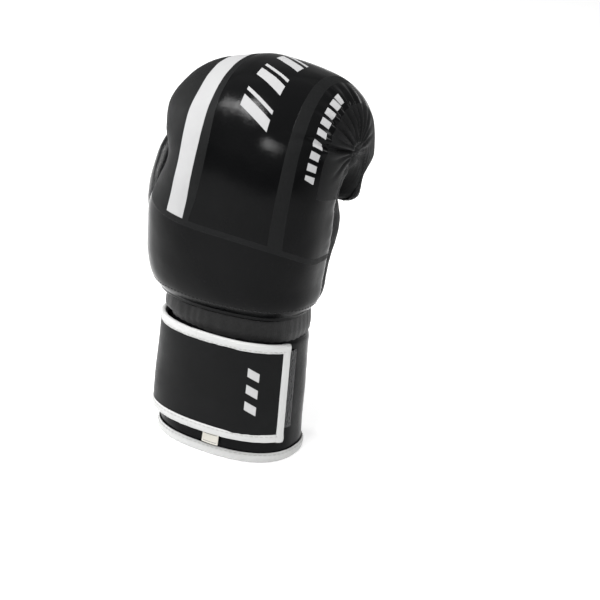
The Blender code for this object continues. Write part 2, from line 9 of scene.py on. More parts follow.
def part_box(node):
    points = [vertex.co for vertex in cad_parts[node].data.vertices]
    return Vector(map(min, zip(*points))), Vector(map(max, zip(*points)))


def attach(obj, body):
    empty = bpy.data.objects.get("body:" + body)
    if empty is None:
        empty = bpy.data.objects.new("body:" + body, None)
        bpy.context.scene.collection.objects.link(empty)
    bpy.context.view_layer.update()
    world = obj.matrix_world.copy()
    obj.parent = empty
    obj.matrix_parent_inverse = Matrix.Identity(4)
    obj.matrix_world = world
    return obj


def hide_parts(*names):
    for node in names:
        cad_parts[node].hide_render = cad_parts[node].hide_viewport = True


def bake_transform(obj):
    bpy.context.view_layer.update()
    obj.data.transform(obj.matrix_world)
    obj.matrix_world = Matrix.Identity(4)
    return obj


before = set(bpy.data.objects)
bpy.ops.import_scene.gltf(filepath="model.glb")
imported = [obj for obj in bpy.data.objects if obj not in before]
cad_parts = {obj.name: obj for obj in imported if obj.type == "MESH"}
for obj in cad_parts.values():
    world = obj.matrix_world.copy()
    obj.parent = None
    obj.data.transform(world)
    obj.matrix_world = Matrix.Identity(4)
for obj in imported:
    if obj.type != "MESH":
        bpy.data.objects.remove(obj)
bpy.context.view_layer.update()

# The same shapes as the CAD, in metres. Depths run inwards from the outer face.
SKIN, LINING, GAP = 0.0014, 0.0009, 0.0004
CUFF_HEIGHT, CUFF_CENTRE_Y, CUFF_SQUARENESS, CUFF_FOAM = 0.092, -0.002, 2.4, 0.0055
CUFF_HALF_WIDTH = {0.0: 0.0540, 0.05: 0.0528, CUFF_HEIGHT: 0.0520}
CUFF_HALF_DEPTH = {0.0: 0.0390, 0.05: 0.0375, CUFF_HEIGHT: 0.0370}
SLIT_HALF_ANGLE, PALM = 12.0, 90.0
HEM_HEIGHT = 0.0076
STRAP_BOTTOM, STRAP_TOP, STRAP_THICKNESS = 0.018, 0.092, 0.0024
BINDING_HEIGHT, BINDING_PROUD = 0.0063, 0.0007
STRAP_START, SEAM_BEND, FOLD_AT, PEEL_AT, STRAP_END = 46.0, 70.5, 141.0, 219.0, 336.0
STRAP_LIFT = {46.0: 0.0004, 120.0: 0.0016, 200.0: 0.0032, 360.0: 0.0036}
WRIST_Z, PIVOT_Y, PIVOT_Z, CREASE = 0.113, 0.030, 0.192, 0.0025
CURL_END, TIP, FIST_SQUARENESS, SEAM = 190, 0.009, 2.5, 105
BACK_Y = {WRIST_Z: -0.0420, 0.1205: -0.0480, 0.148: -0.0550, 0.172: -0.0580, PIVOT_Z: -0.0590}
PALM_Y = {WRIST_Z: 0.0340, 0.1205: 0.0385, 0.148: 0.0365, 0.172: 0.0315, PIVOT_Z: PIVOT_Y - CREASE}
REACH = {0: 0.0890, 30: 0.0920, 65: 0.0910, 100: 0.0820, 135: 0.0630, 165: 0.0485, 190: 0.0410}
THUMB_WIDTH = {WRIST_Z: 0.0610, 0.1205: 0.0665, 0.135: 0.0700, 0.150: 0.0700, 0.172: 0.0675, PIVOT_Z: 0.0585}
PINKY_WIDTH = {WRIST_Z: 0.0505, 0.1205: 0.0565, 0.135: 0.0600, 0.150: 0.0630, 0.172: 0.0665, PIVOT_Z: 0.0680}
THUMB_CURL_WIDTH = {
    0: 0.0585, 15: 0.0520, 30: 0.0600, 42: 0.0660, 60: 0.0695, 100: 0.0700,
    135: 0.0680, 165: 0.0630, 190: 0.0560,
}
PINKY_CURL_WIDTH = {0: 0.0680, 30: 0.0690, 65: 0.0680, 100: 0.0660, 135: 0.0635, 165: 0.0605, 190: 0.0560}
THUMB_X = {0.0: -0.0480, 0.35: -0.0665, 0.7: -0.0755, 1.0: -0.0735}
THUMB_Y = {0.0: 0.0070, 0.35: 0.0145, 0.7: 0.0300, 1.0: 0.0465}
THUMB_Z = {0.0: 0.1300, 0.35: 0.1560, 0.7: 0.1840, 1.0: 0.2060}
THUMB_RADIUS = {0.0: 0.0215, 0.35: 0.0240, 0.7: 0.0225, 1.0: 0.0190}
THUMB_TIP, THUMB_CLEARANCE, THUMB_FOAM = 0.016, 0.0026, 0.0075
STITCH_CLEARANCE = 0.0065  # no stitch is laid nearer than this to the thumb
NEST_X, NEST_RADIUS, NEST_SLOPE, NEST_ALONG = 0.0555, 0.020, 0.9, (0.6, 0.8, 1.0)
FLATTEN_FROM, FLATTEN_TO = 0.25, 0.45

# The print on the back of the hand, laid out from the white stripe's middle line. Lengths are in metres, and
# the keys are distances up from the wrist
STRIPE_MIDDLE = {0.064: -0.028, 0.090: -0.024, 0.118: -0.022, 0.150: -0.025, 0.190: -0.029}
STRIPE_WIDTH = 0.015
MATT_WIDTH = {0.066: 0.005, 0.095: 0.008, 0.155: 0.0055}  # between the stripe and the gloss panel
PANEL_RIGHT = {0.060: 0.044, 0.110: 0.048, 0.194: 0.042}
BORDER_WIDTH = {0.060: 0.010, 0.200: 0.008}
CROSS_DROP = {-0.080: -0.016, -0.045: -0.004, -0.020: 0.0, 0.045: 0.006, 0.080: 0.018}
CROSS_BAND = (0.060, 0.0645)
# The same edges once the map is straightened
STRIPE, PANEL, BORDER = (-0.030, -0.015), (-0.009, 0.045), 0.055
BARS_ACROSS, BARS_UP = (0.007, 0.0295), (0.149, 0.236)
DASHES_ACROSS, DASHES_UP = (0.062, 0.069), (0.124, 0.205)
MATT_SIDE = (0.0735, 0.113)  # the skin is matt beyond this far across and up


def spline(keys, at):
    """A smooth curve through keys, given as {position: value}, at any array of positions."""
    x = np.array(sorted(keys), float)
    y = np.array([keys[k] for k in sorted(keys)], float)
    at = np.clip(np.asarray(at, float), x[0], x[-1])
    i = np.clip(np.searchsorted(x, at) - 1, 0, len(x) - 2)
    slope = np.diff(y) / np.diff(x)
    tangent = np.concatenate([slope[:1], (slope[1:] + slope[:-1]) / 2, slope[-1:]])
    width = x[i + 1] - x[i]
    t = (at - x[i]) / width
    return (
        y[i] * (1 + 2 * t) * (1 - t) ** 2
        + y[i + 1] * t * t * (3 - 2 * t)
        + width * (tangent[i] * t * (1 - t) ** 2 - tangent[i + 1] * t * t * (1 - t))
    )


def rounded(angle, squareness):
    c, s = np.cos(np.radians(angle)), np.sin(np.radians(angle))
    return np.sign(c) * np.abs(c) ** (2 / squareness), np.sign(s) * np.abs(s) ** (2 / squareness)


def fist_round(angle):
    return np.stack(rounded(angle, FIST_SQUARENESS), -1)


def cuff_point(angle, z, depth=0.0):
    """Points of the cuff: angle 0 is the little finger's side, 90 the palm, 180 the thumb, 270 the back."""
    angle, z, depth = np.broadcast_arrays(*(np.asarray(v, float) for v in (angle, z, depth)))
    c, s = rounded(angle, CUFF_SQUARENESS)
    x = (spline(CUFF_HALF_WIDTH, z) - depth) * c
    return np.stack([x, (spline(CUFF_HALF_DEPTH, z) - depth) * s + CUFF_CENTRE_Y, z], -1)


def strap_point(angle, z, height):
    return cuff_point(angle, z, -spline(STRAP_LIFT, angle) - height)


def thumb_axis(t):
    return np.stack([spline(THUMB_X, t), spline(THUMB_Y, t), spline(THUMB_Z, t)], -1)


def fist_point(along, angle, depth=0.0):
    """Points of the fist: along runs 0 to 1 up the hand, 1 to 2 round the curl and 2 to 3 over the end."""
    along, angle, depth = np.broadcast_arrays(*(np.asarray(v, float) for v in (along, angle, depth)))
    c, s = rounded(angle, FIST_SQUARENESS)
    z = WRIST_Z + np.clip(along, 0, 1) * (PIVOT_Z - WRIST_Z)
    back, palm = spline(BACK_Y, z), spline(PALM_Y, z)
    width = np.where(s > 0, spline(PINKY_WIDTH, z), spline(THUMB_WIDTH, z)) - depth
    leg = np.stack([width * s, (back + palm) / 2 - ((palm - back) / 2 - depth) * c, z], -1)
    turn = np.clip(along - 1, 0, 1) * CURL_END
    reach = spline(REACH, turn)
    a = np.radians(turn)
    cap = np.radians(90) * np.clip(along - 2, 0, 1)
    scale, advance = np.cos(cap) ** 0.8, (TIP - depth) * np.sin(cap)
    out = (reach + CREASE) / 2 + ((reach - CREASE) / 2 - depth) * c * scale
    width = np.where(s > 0, spline(PINKY_CURL_WIDTH, turn), spline(THUMB_CURL_WIDTH, turn)) - depth
    y = PIVOT_Y - np.cos(a) * out + np.sin(a) * advance
    curl = np.stack([width * s * scale, y, PIVOT_Z + np.sin(a) * out + np.cos(a) * advance], -1)
    point = np.where((along <= 1)[..., None], leg, curl)
    away = np.min(
        [np.hypot(*np.moveaxis(point[..., 1:] - thumb_axis(t)[1:], -1, 0)) for t in NEST_ALONG], axis=0
    )
    limit = NEST_X - depth + NEST_SLOPE * np.maximum(away - NEST_RADIUS, 0)
    point[..., 0] = np.maximum(point[..., 0], -limit)
    return point


def thumb_point(along, angle, depth=0.0):
    """Points of the thumb: along runs 0 to 1 up the tube and 1 to 2 over its rounded tip."""
    along, angle = np.broadcast_arrays(np.asarray(along, float), np.asarray(angle, float))
    t = np.clip(along, 0, 1)
    ahead = thumb_axis(np.minimum(t + 0.01, 1)) - thumb_axis(np.maximum(t - 0.01, 0))
    ahead /= np.linalg.norm(ahead, axis=-1, keepdims=True)
    across = np.cross(ahead, (0.0, 1.0, 0.0))
    across /= np.linalg.norm(across, axis=-1, keepdims=True)
    up = np.cross(across, ahead)
    cap = np.radians(90 * np.clip(along - 1, 0, 1))[..., None]
    turn = np.radians(angle)[..., None]
    radius = (spline(THUMB_RADIUS, t)[..., None] - depth) * np.cos(cap)
    point = thumb_axis(t) + ahead * (THUMB_TIP - depth) * np.sin(cap)
    point = point + radius * (np.cos(turn) * across + np.sin(turn) * up)
    share = np.clip((t - FLATTEN_FROM) / (FLATTEN_TO - FLATTEN_FROM), 0, 1)
    flat = np.minimum(point[..., 0], -NEST_X - THUMB_CLEARANCE - depth)
    point[..., 0] += share * (flat - point[..., 0])
    return point


def smooth(t):
    t = np.clip(t, 0, 1)
    return t * t * (3 - 2 * t)


def bell(distance, width):
    return np.exp(-((distance / width) ** 2))


def normals_of(grid, ring=False):
    """Unit normals of a grid of points, facing left of the rows' direction as seen along the columns'."""
    down = np.gradient(grid, axis=0)
    if ring:
        wrapped = np.concatenate([grid[:, -1:], grid, grid[:, :1]], 1)
        along = (wrapped[:, 2:] - wrapped[:, :-2]) / 2
    else:
        along = np.gradient(grid, axis=1)
    normal = np.cross(along, down)
    return normal / np.maximum(np.linalg.norm(normal, axis=-1, keepdims=True), 1e-9)


def lumps(points, scale, seed):
    """Smooth seeded noise, about -0.5 to 0.5, at every point."""
    shift = Vector((seed * 3.17, seed * 1.71, seed * 2.23))
    flat = points.reshape(-1, 3)
    return np.array([noise.noise(Vector(p) * scale + shift) for p in flat]).reshape(points.shape[:-1])


def arc(grid, axis):
    """Distance travelled along a grid's axis, starting at 0."""
    step = np.linalg.norm(np.diff(grid, axis=axis), axis=-1)
    start = np.zeros_like(np.take(step, [0], axis))
    return np.concatenate([start, np.cumsum(step, axis)], axis)


def flat_map(grid):
    """Map positions in metres: the distance along the columns, and down the rows."""
    return np.stack([arc(grid, 1), arc(grid, 0)], -1)


def evenly(curve, start, end, count):
    """Parameters that split curve(parameter) into equal lengths."""
    fine = np.linspace(start, end, 4000)
    length = arc(curve(fine), 0)
    return np.interp(np.linspace(0, length[-1], count), length, fine)


def mesh_object(name, points, faces, material, uv=None, uv_faces=None):
    mesh = bpy.data.meshes.new(name)
    mesh.from_pydata(points.tolist(), [], faces)
    if uv is not None:
        layer = mesh.uv_layers.new(name="Surface")
        corners = [c for face in (uv_faces or faces) for c in face]
        layer.data.foreach_set("uv", np.asarray(uv)[corners].astype(np.float32).ravel())
    made = bpy.data.objects.new(name, mesh)
    bpy.context.scene.collection.objects.link(made)
    mesh.materials.append(material)
    mesh.shade_smooth()
    return made


def shell(name, outer, inner, uv, material, ring=False, pole=False, rim=0.45):
    """A closed thin solid between two grids of points, with a rounded rim where it has edges.

    ring joins the last column to the first, and pole brings the last row to one point.
    """
    n, m = outer.shape[:2]
    wide = m + 1 if ring else m
    if uv.shape[1] != wide:
        raise ValueError(name + ": a ring's map needs one more column than its points")
    if pole:
        outer, inner = outer.copy(), inner.copy()
        outer[-1], inner[-1] = outer[-1].mean(0), inner[-1].mean(0)
    points = [outer.reshape(-1, 3), inner.reshape(-1, 3)]
    maps = [uv.reshape(-1, 2), uv.reshape(-1, 2)]
    faces, map_faces = [], []

    def vertex(side, i, j):
        return side * n * m + i * m + (0 if pole and i == n - 1 else j % m)

    def corner(side, i, j):
        return side * n * wide + i * wide + j

    def add(cells):
        face = [vertex(*c) if len(c) == 3 else c[0] for c in cells]
        spots = [corner(*c) if len(c) == 3 else c[1] for c in cells]
        keep = [k for k in range(len(face)) if face[k] != face[k - 1]]
        if len(keep) > 2:
            faces.append([face[k] for k in keep])
            map_faces.append([spots[k] for k in keep])

    for i in range(n - 1):
        for j in range(wide - 1):
            add([(0, i, j), (0, i, j + 1), (0, i + 1, j + 1), (0, i + 1, j)])
            add([(1, i, j), (1, i + 1, j), (1, i + 1, j + 1), (1, i, j + 1)])
    last = wide - 1
    if ring:
        loops = [[(0, j) for j in range(wide)]]
        if not pole:
            loops.append([(n - 1, last - j) for j in range(wide)])
    else:
        loops = [
            [(0, j) for j in range(m)] + [(i, last) for i in range(1, n)]
            + [(n - 1, j) for j in range(m - 2, -1, -1)] + [(i, 0) for i in range(n - 2, -1, -1)]
        ]
    for loop in loops:
        spots = []
        for i, j in loop:
            a, b = outer[i, j % m], inner[i, j % m]
            near = (min(max(i, 1), n - 2), j % m if ring else min(max(j, 1), m - 2))
            away = a - outer[near]
            size = np.linalg.norm(away)
            lift = away / size * np.linalg.norm(a - b) * rim if size > 1e-9 else np.zeros(3)
            spots.append((a + b) / 2 + lift)
        start = sum(len(p) for p in points)
        map_start = sum(len(p) for p in maps)
        closed = len(loop) - 1
        points.append(np.array(spots[:closed]))
        maps.append(np.array([uv[i, j] for i, j in loop]))
        for k in range(closed):
            here, after = loop[k], loop[k + 1]
            a = (start + k, map_start + k)
            b = (start + (k + 1) % closed, map_start + k + 1)
            add([(0, *after), (0, *here), a, b])
            add([b, a, (1, *here), (1, *after)])
    return mesh_object(name, np.concatenate(points), faces, material, np.concatenate(maps), map_faces)


def value_at(distance, travel, values):
    """A three-part value at a distance along a path."""
    return np.array([np.interp(distance, travel, values[:, k]) for k in range(3)])


def stitch_line(name, path, normals, material, spacing=0.0034, length=0.0024, radius=0.00034, clear=None):
    """A row of stitches along a path: small beads, left out near the points given as clear."""
    travel = arc(path, 0)
    centres = np.arange(spacing / 2, travel[-1], spacing)
    sides, rings = 6, 5
    points, faces = [], []
    for centre in centres:
        at = [value_at(centre + d, travel, path) for d in (-length / 2, 0, length / 2)]
        if clear is not None and np.linalg.norm(clear - at[1], axis=-1).min() < STITCH_CLEARANCE:
            continue
        up = value_at(centre, travel, normals)
        ahead = at[2] - at[0]
        ahead /= max(np.linalg.norm(ahead), 1e-9)
        up -= ahead * up.dot(ahead)
        up /= max(np.linalg.norm(up), 1e-9)
        side = np.cross(ahead, up)
        base = len(points)
        for r in range(rings):
            t = math.radians(-80 + 160 * r / (rings - 1))
            middle = at[1] + ahead * math.sin(t) * length / 2 + up * radius * (0.9 * math.cos(t) - 0.5)
            for k in range(sides):
                turn = 2 * math.pi * k / sides
                spoke = side * math.cos(turn) + up * math.sin(turn)
                points.append(middle + spoke * radius * math.cos(t))
        for r in range(rings - 1):
            for k in range(sides):
                a, b = base + r * sides + k, base + r * sides + (k + 1) % sides
                faces.append([a, b, b + sides, a + sides])
        faces.append([base + k for k in range(sides)][::-1])
        faces.append([base + (rings - 1) * sides + k for k in range(sides)])
    return mesh_object(name, np.array(points), faces, material)


# Materials ------------------------------------------------------------


class Shade:
    """A Principled material while its nodes are being joined up. Lengths are in metres."""

    def __init__(self, name, **sockets):
        self.material = bpy.data.materials.new(name)
        self.material.use_nodes = True
        self.tree = self.material.node_tree
        self.shader = self.tree.nodes["Principled BSDF"]
        for key, value in sockets.items():
            self.shader.inputs[key.replace("_", " ")].default_value = value
        self.place = self.add("ShaderNodeTexCoord").outputs["Object"]

    def add(self, kind, inputs=None, **settings):
        node = self.tree.nodes.new(kind)
        for key, value in settings.items():
            setattr(node, key, value)
        for key, value in (inputs or {}).items():
            if isinstance(value, bpy.types.NodeSocket):
                self.tree.links.new(value, node.inputs[key])
            else:
                node.inputs[key].default_value = value
        return node

    def link(self, output, socket):
        self.tree.links.new(output, self.shader.inputs[socket])

    def math(self, operation, a, b=0.0, clamp=False):
        return self.add("ShaderNodeMath", {0: a, 1: b}, operation=operation, use_clamp=clamp).outputs[0]

    def noise(self, scale, detail=3.0, roughness=0.5, distortion=0.0):
        sockets = {"Vector": self.place, "Scale": scale, "Detail": detail, "Roughness": roughness}
        sockets["Distortion"] = distortion
        return self.add("ShaderNodeTexNoise", sockets).outputs["Fac"]

    def cells(self, scale, feature="DISTANCE_TO_EDGE"):
        node = self.add("ShaderNodeTexVoronoi", {"Vector": self.place, "Scale": scale}, feature=feature)
        return node.outputs["Distance"]

    def span(self, value, low, high, out_low=0.0, out_high=1.0):
        sockets = {"Value": value, "From Min": low, "From Max": high, "To Min": out_low, "To Max": out_high}
        node = self.add("ShaderNodeMapRange", sockets, interpolation_type="SMOOTHSTEP")
        return node.outputs["Result"]

    def above(self, value, edge, soft=0.00012):
        return self.span(value, edge - soft, edge + soft)

    def between(self, value, low, high, soft=0.00012):
        return self.unless(self.above(value, low, soft), self.above(value, high, soft))

    def both(self, a, b):
        return self.math("MULTIPLY", a, b)

    def either(self, a, b):
        return self.math("MAXIMUM", a, b)

    def unless(self, a, b):
        return self.math("MULTIPLY", a, self.math("SUBTRACT", 1.0, b))

    def blend(self, share, a, b):
        a, b = (v if isinstance(v, bpy.types.NodeSocket) else (*v, 1) for v in (a, b))
        return self.add("ShaderNodeMix", {0: share, 6: a, 7: b}, data_type="RGBA").outputs[2]

    def mix(self, share, a, b):
        return self.add("ShaderNodeMix", {0: share, 2: a, 3: b}, data_type="FLOAT").outputs[0]

    def map(self):
        node = self.add("ShaderNodeUVMap", uv_map="Surface")
        split = self.add("ShaderNodeSeparateXYZ", {"Vector": node.outputs["UV"]})
        return split.outputs["X"], split.outputs["Y"]

    def bumps(self, *heights):
        """Each height is (output, distance in metres, strength)."""
        normal = None
        for height, distance, strength in heights:
            sockets = {"Height": height, "Distance": distance, "Strength": strength}
            if normal is not None:
                sockets["Normal"] = normal
            normal = self.add("ShaderNodeBump", sockets).outputs["Normal"]
        self.link(normal, "Normal")
        return self.material


def leather(name, colour, rough, grain=0.5, waves=0.3, marked=False):
    """Coated synthetic leather: fine pebbled grain, soft waves, handling marks and paler worn ridges."""
    s = Shade(name, Specular_IOR_Level=SHINE)
    broad = s.noise(22, 4)
    smudge = s.noise(70, 6, 0.65)
    pebble = s.cells(1500)
    fine = s.noise(2600, 2)
    worn = s.span(s.noise(38, 5, 0.6), 0.52, 0.80, 0.0, 0.5)
    tint = s.blend(broad, colour, tuple(c * 1.35 for c in colour))
    shade = s.blend(worn, tint, tuple(c * 1.7 + 0.001 for c in colour))
    if marked:  # three slanted bars, one above the other
        x, y = s.map()
        slant = s.math("ADD", y, s.math("MULTIPLY", x, 0.45))
        repeat = s.math("MODULO", s.math("SUBTRACT", slant, 0.037), 0.0125)
        bars = s.both(s.between(repeat, 0.0035, 0.0100), s.between(slant, 0.039, 0.0745))
        shade = s.blend(s.both(bars, s.between(x, 0.0410, 0.0495)), shade, (0.42, 0.42, 0.42))
    s.link(shade, "Base Color")
    handled = s.span(smudge, 0.3, 0.8, rough * 0.85, rough * 1.25)
    s.link(s.math("ADD", handled, s.math("MULTIPLY", worn, 0.06)), "Roughness")
    return s.bumps((broad, 0.0015, waves), (pebble, 0.0002, grain), (fine, 0.00008, grain * 0.6))


def printed_leather():
    """The printed back of the hand: gloss panels, matt bands, a white stripe, slanted bars and dashes."""
    s = Shade("printed_leather", Specular_IOR_Level=SHINE)
    x, y = s.map()
    upper = s.above(y, CROSS_BAND[1])
    stripe = s.both(s.between(x, *STRIPE), upper)
    seam_side = s.both(s.math("SUBTRACT", 1.0, s.above(x, STRIPE[0])), s.above(y, CROSS_BAND[0]))
    matt = s.both(s.between(x, STRIPE[1], PANEL[0]), s.above(y, CROSS_BAND[0]))
    matt = s.either(matt, s.both(s.between(x, PANEL[1], BORDER), s.above(y, CROSS_BAND[0])))
    matt = s.either(matt, s.both(s.between(y, *CROSS_BAND), s.above(x, STRIPE[0])))
    matt = s.either(matt, seam_side)
    matt = s.either(matt, s.both(s.above(x, MATT_SIDE[0]), s.above(y, MATT_SIDE[1])))
    # slanted bars on the gloss panel, in pairs of one broad and one narrow
    slant = s.math("ADD", y, s.math("MULTIPLY", x, 0.55))
    repeat = s.math("MODULO", s.math("SUBTRACT", slant, 0.004), 0.029)
    bars = s.either(s.between(repeat, 0.0075, 0.0165), s.between(repeat, 0.0205, 0.0235))
    bars = s.both(bars, s.both(s.between(x, *BARS_ACROSS), s.between(slant, *BARS_UP)))
    # a row of short dashes down the little finger's side
    beat = s.math("MODULO", s.math("ADD", y, s.math("MULTIPLY", x, -0.35)), 0.0098)
    dashes = s.both(s.between(beat, 0.0022, 0.0082), s.between(x, *DASHES_ACROSS))
    dashes = s.both(dashes, s.between(y, *DASHES_UP))
    white = s.either(stripe, s.either(bars, dashes))
    smudge = s.noise(60, 6, 0.65)
    broad = s.noise(22, 4)
    black = s.blend(s.span(broad, 0.3, 0.7), (0.0016, 0.0017, 0.0019), (0.0028, 0.0029, 0.0031))
    dull = s.blend(s.noise(500, 2), (0.0058, 0.0060, 0.0062), (0.0085, 0.0087, 0.0090))
    pale = s.blend(smudge, (0.34, 0.34, 0.345), (0.39, 0.39, 0.39))
    s.link(s.blend(white, s.blend(matt, black, dull), pale), "Base Color")
    gloss = s.span(smudge, 0.3, 0.8, 0.12, 0.18)
    dry = s.span(smudge, 0.3, 0.8, 0.50, 0.60)
    film = s.either(matt, white)
    s.link(s.mix(film, gloss, dry), "Roughness")
    pebble = s.math("MULTIPLY", s.cells(1500), s.mix(matt, 0.35, 1.0))
    return s.bumps((broad, 0.0018, 0.35), (film, 0.00012, 0.6), (pebble, 0.0002, 0.5))


def cloth(name, colour, dark, scale=900.0, rough=0.85, depth=0.00035, sheen=0.25):
    """Woven or knitted fabric: crossing threads with fuzz, and slight fading."""
    s = Shade(name, Sheen_Weight=sheen, Specular_IOR_Level=0.25)
    s.shader.inputs["Sheen Roughness"].default_value = 0.5
    waves = []
    for direction in ("X", "Y", "Z"):
        node = s.add(
            "ShaderNodeTexWave", {"Vector": s.place, "Scale": scale / 6.3, "Distortion": 1.2, "Detail": 1.0},
            bands_direction=direction,
        )
        waves.append(node.outputs["Fac"])
    weave = s.math("MULTIPLY", s.math("MAXIMUM", waves[0], waves[1]), waves[2])
    fuzz = s.noise(1800, 3)
    faded = s.noise(30, 4)
    tint = s.blend(s.span(faded, 0.3, 0.8), colour, tuple(c * 1.3 for c in colour))
    s.link(s.blend(s.math("MULTIPLY", weave, fuzz, True), dark, tint), "Base Color")
    s.link(s.span(fuzz, 0.2, 0.8, rough * 0.93, rough), "Roughness")
    return s.bumps((faded, 0.0012, 0.25), (weave, depth, 0.7), (fuzz, 0.0001, 0.4))


def foam_material():
    s = Shade("foam", Specular_IOR_Level=0.3)
    cell = s.cells(1100, "F1")
    tint = s.blend(s.span(s.noise(60, 3), 0.3, 0.8), (0.045, 0.045, 0.05), (0.075, 0.075, 0.08))
    s.link(s.blend(s.span(cell, 0.1, 0.5), tint, (0.02, 0.02, 0.022)), "Base Color")
    s.link(s.span(cell, 0.0, 0.6, 0.85, 0.97), "Roughness")
    return s.bumps((cell, 0.0004, 0.8), (s.noise(300, 3), 0.0003, 0.3))


def pile_material(name, colour, scale):
    s = Shade(name, Sheen_Weight=0.4, Specular_IOR_Level=0.2)
    tuft = s.cells(scale, "F1")
    curl = s.noise(scale * 1.6, 4, 0.7, distortion=1.5)
    light = tuple(c * 3.2 for c in colour)
    s.link(s.blend(s.math("MULTIPLY", curl, tuft, True), colour, light), "Base Color")
    s.link(s.span(curl, 0.2, 0.8, 0.85, 0.98), "Roughness")
    return s.bumps((tuft, 0.0005, 0.8), (curl, 0.0004, 0.8))


def white_trim():
    """White coated tape: faint grain, and a little grey handling dirt in the folds."""
    s = Shade("white_trim", Specular_IOR_Level=0.45)
    dirt = s.span(s.noise(120, 6, 0.7), 0.55, 0.8, 0.0, 0.35)
    clean = s.blend(s.noise(25, 3), (0.42, 0.425, 0.42), (0.48, 0.48, 0.475))
    s.link(s.blend(dirt, clean, (0.36, 0.35, 0.33)), "Base Color")
    s.link(s.span(s.noise(300, 4), 0.3, 0.8, 0.36, 0.5), "Roughness")
    return s.bumps((s.noise(160, 3), 0.0004, 0.3), (s.cells(1600), 0.00015, 0.4))


def thread_material(name, colour):
    s = Shade(name, Specular_IOR_Level=0.35)
    twist = s.noise(2400, 2, distortion=2.0)
    s.link(s.blend(twist, tuple(c * 0.75 for c in colour), colour), "Base Color")
    s.link(s.span(twist, 0.2, 0.8, 0.55, 0.75), "Roughness")
    return s.bumps((twist, 0.00012, 0.8))


def label_material():
    """A blank woven tag: satin warp, a fine rib, and two thin printed lines."""
    s = Shade("woven_tag", Sheen_Weight=0.2, Specular_IOR_Level=0.35)
    x, y = s.map()
    rib = s.add(
        "ShaderNodeTexWave", {"Vector": s.place, "Scale": 420.0, "Distortion": 0.6}, bands_direction="Z"
    ).outputs["Fac"]
    tint = s.blend(s.noise(200, 4), (0.62, 0.60, 0.54), (0.70, 0.68, 0.62))
    edge = s.either(s.between(y, 0.0010, 0.0014, 0.00008), s.between(y, 0.0066, 0.0070, 0.00008))
    woven = s.blend(rib, (0.50, 0.48, 0.43), tint)
    s.link(s.blend(s.both(edge, s.between(x, 0.001, 0.012)), woven, (0.10, 0.10, 0.10)), "Base Color")
    s.link(s.span(rib, 0.0, 1.0, 0.6, 0.75), "Roughness")
    return s.bumps((rib, 0.00015, 0.7), (s.noise(1500, 2), 0.0001, 0.4))


SHINE = 0.065  # specular level of the black coating
printed = printed_leather()
gloss = leather("gloss_leather", (0.0020, 0.0021, 0.0024), 0.17, 0.35, 0.35)
satin = leather("satin_leather", (0.0045, 0.0047, 0.0049), 0.36, 0.6, 0.25)
strap_print = leather("strap_print", (0.0045, 0.0047, 0.0049), 0.36, 0.6, 0.25, marked=True)
matt = leather("matt_leather", (0.0065, 0.0067, 0.0069), 0.56, 0.9, 0.4)
white = white_trim()
black_thread = thread_material("black_thread", (0.012, 0.012, 0.013))
white_thread = thread_material("white_thread", (0.42, 0.42, 0.41))
sleeve_cloth = cloth("elastic_cloth", (0.0075, 0.0075, 0.0078), (0.0050, 0.0050, 0.0052), 2100, 0.8, 0.00018)
lining_cloth = cloth("lining_cloth", (0.030, 0.030, 0.033), (0.008, 0.008, 0.009), 800, 0.9)
foam = foam_material()
loops = pile_material("loop_pile", (0.010, 0.010, 0.011), 1300)
hooks = pile_material("hook_pile", (0.016, 0.016, 0.017), 2000)
tag = label_material()


# Fist ------------------------------------------------------------

# Gathers: degrees round their focus, each with (depth, width in degrees, how far it runs in metres)
PINKY_FOLDS = {
    -16: (0.3, 5, 0.040), 4: (0.4, 4, 0.036), 17: (1, 4.5, 0.066), 33: (0.35, 4, 0.036),
    47: (0.85, 4.5, 0.054), 61: (0.5, 4, 0.044), 74: (0.95, 4.5, 0.056), 88: (0.6, 4, 0.048),
    101: (0.85, 4.5, 0.052), 118: (0.45, 4.5, 0.040), 134: (0.6, 4.5, 0.042), 151: (0.4, 4.5, 0.036),
    168: (0.55, 5, 0.040), 186: (0.35, 5, 0.034), 203: (0.45, 5, 0.036),
}
THUMB_FOLDS = {
    -40: (0.4, 6, 0.050), -14: (0.7, 5, 0.056), 10: (0.6, 5, 0.060), 34: (0.8, 5, 0.056),
    60: (0.6, 5, 0.054), 88: (0.8, 5, 0.052), 116: (0.6, 6, 0.046), 146: (0.5, 6, 0.040),
}
LIP_DROP = 0.0032  # the fist's lower edge hangs this far over the sleeve
LIP_ROWS = 9  # rows of points in the part that is turned in
PINKY_FOCUS, THUMB_FOCUS = (0.0135, 0.2265), (0.024, 0.200)


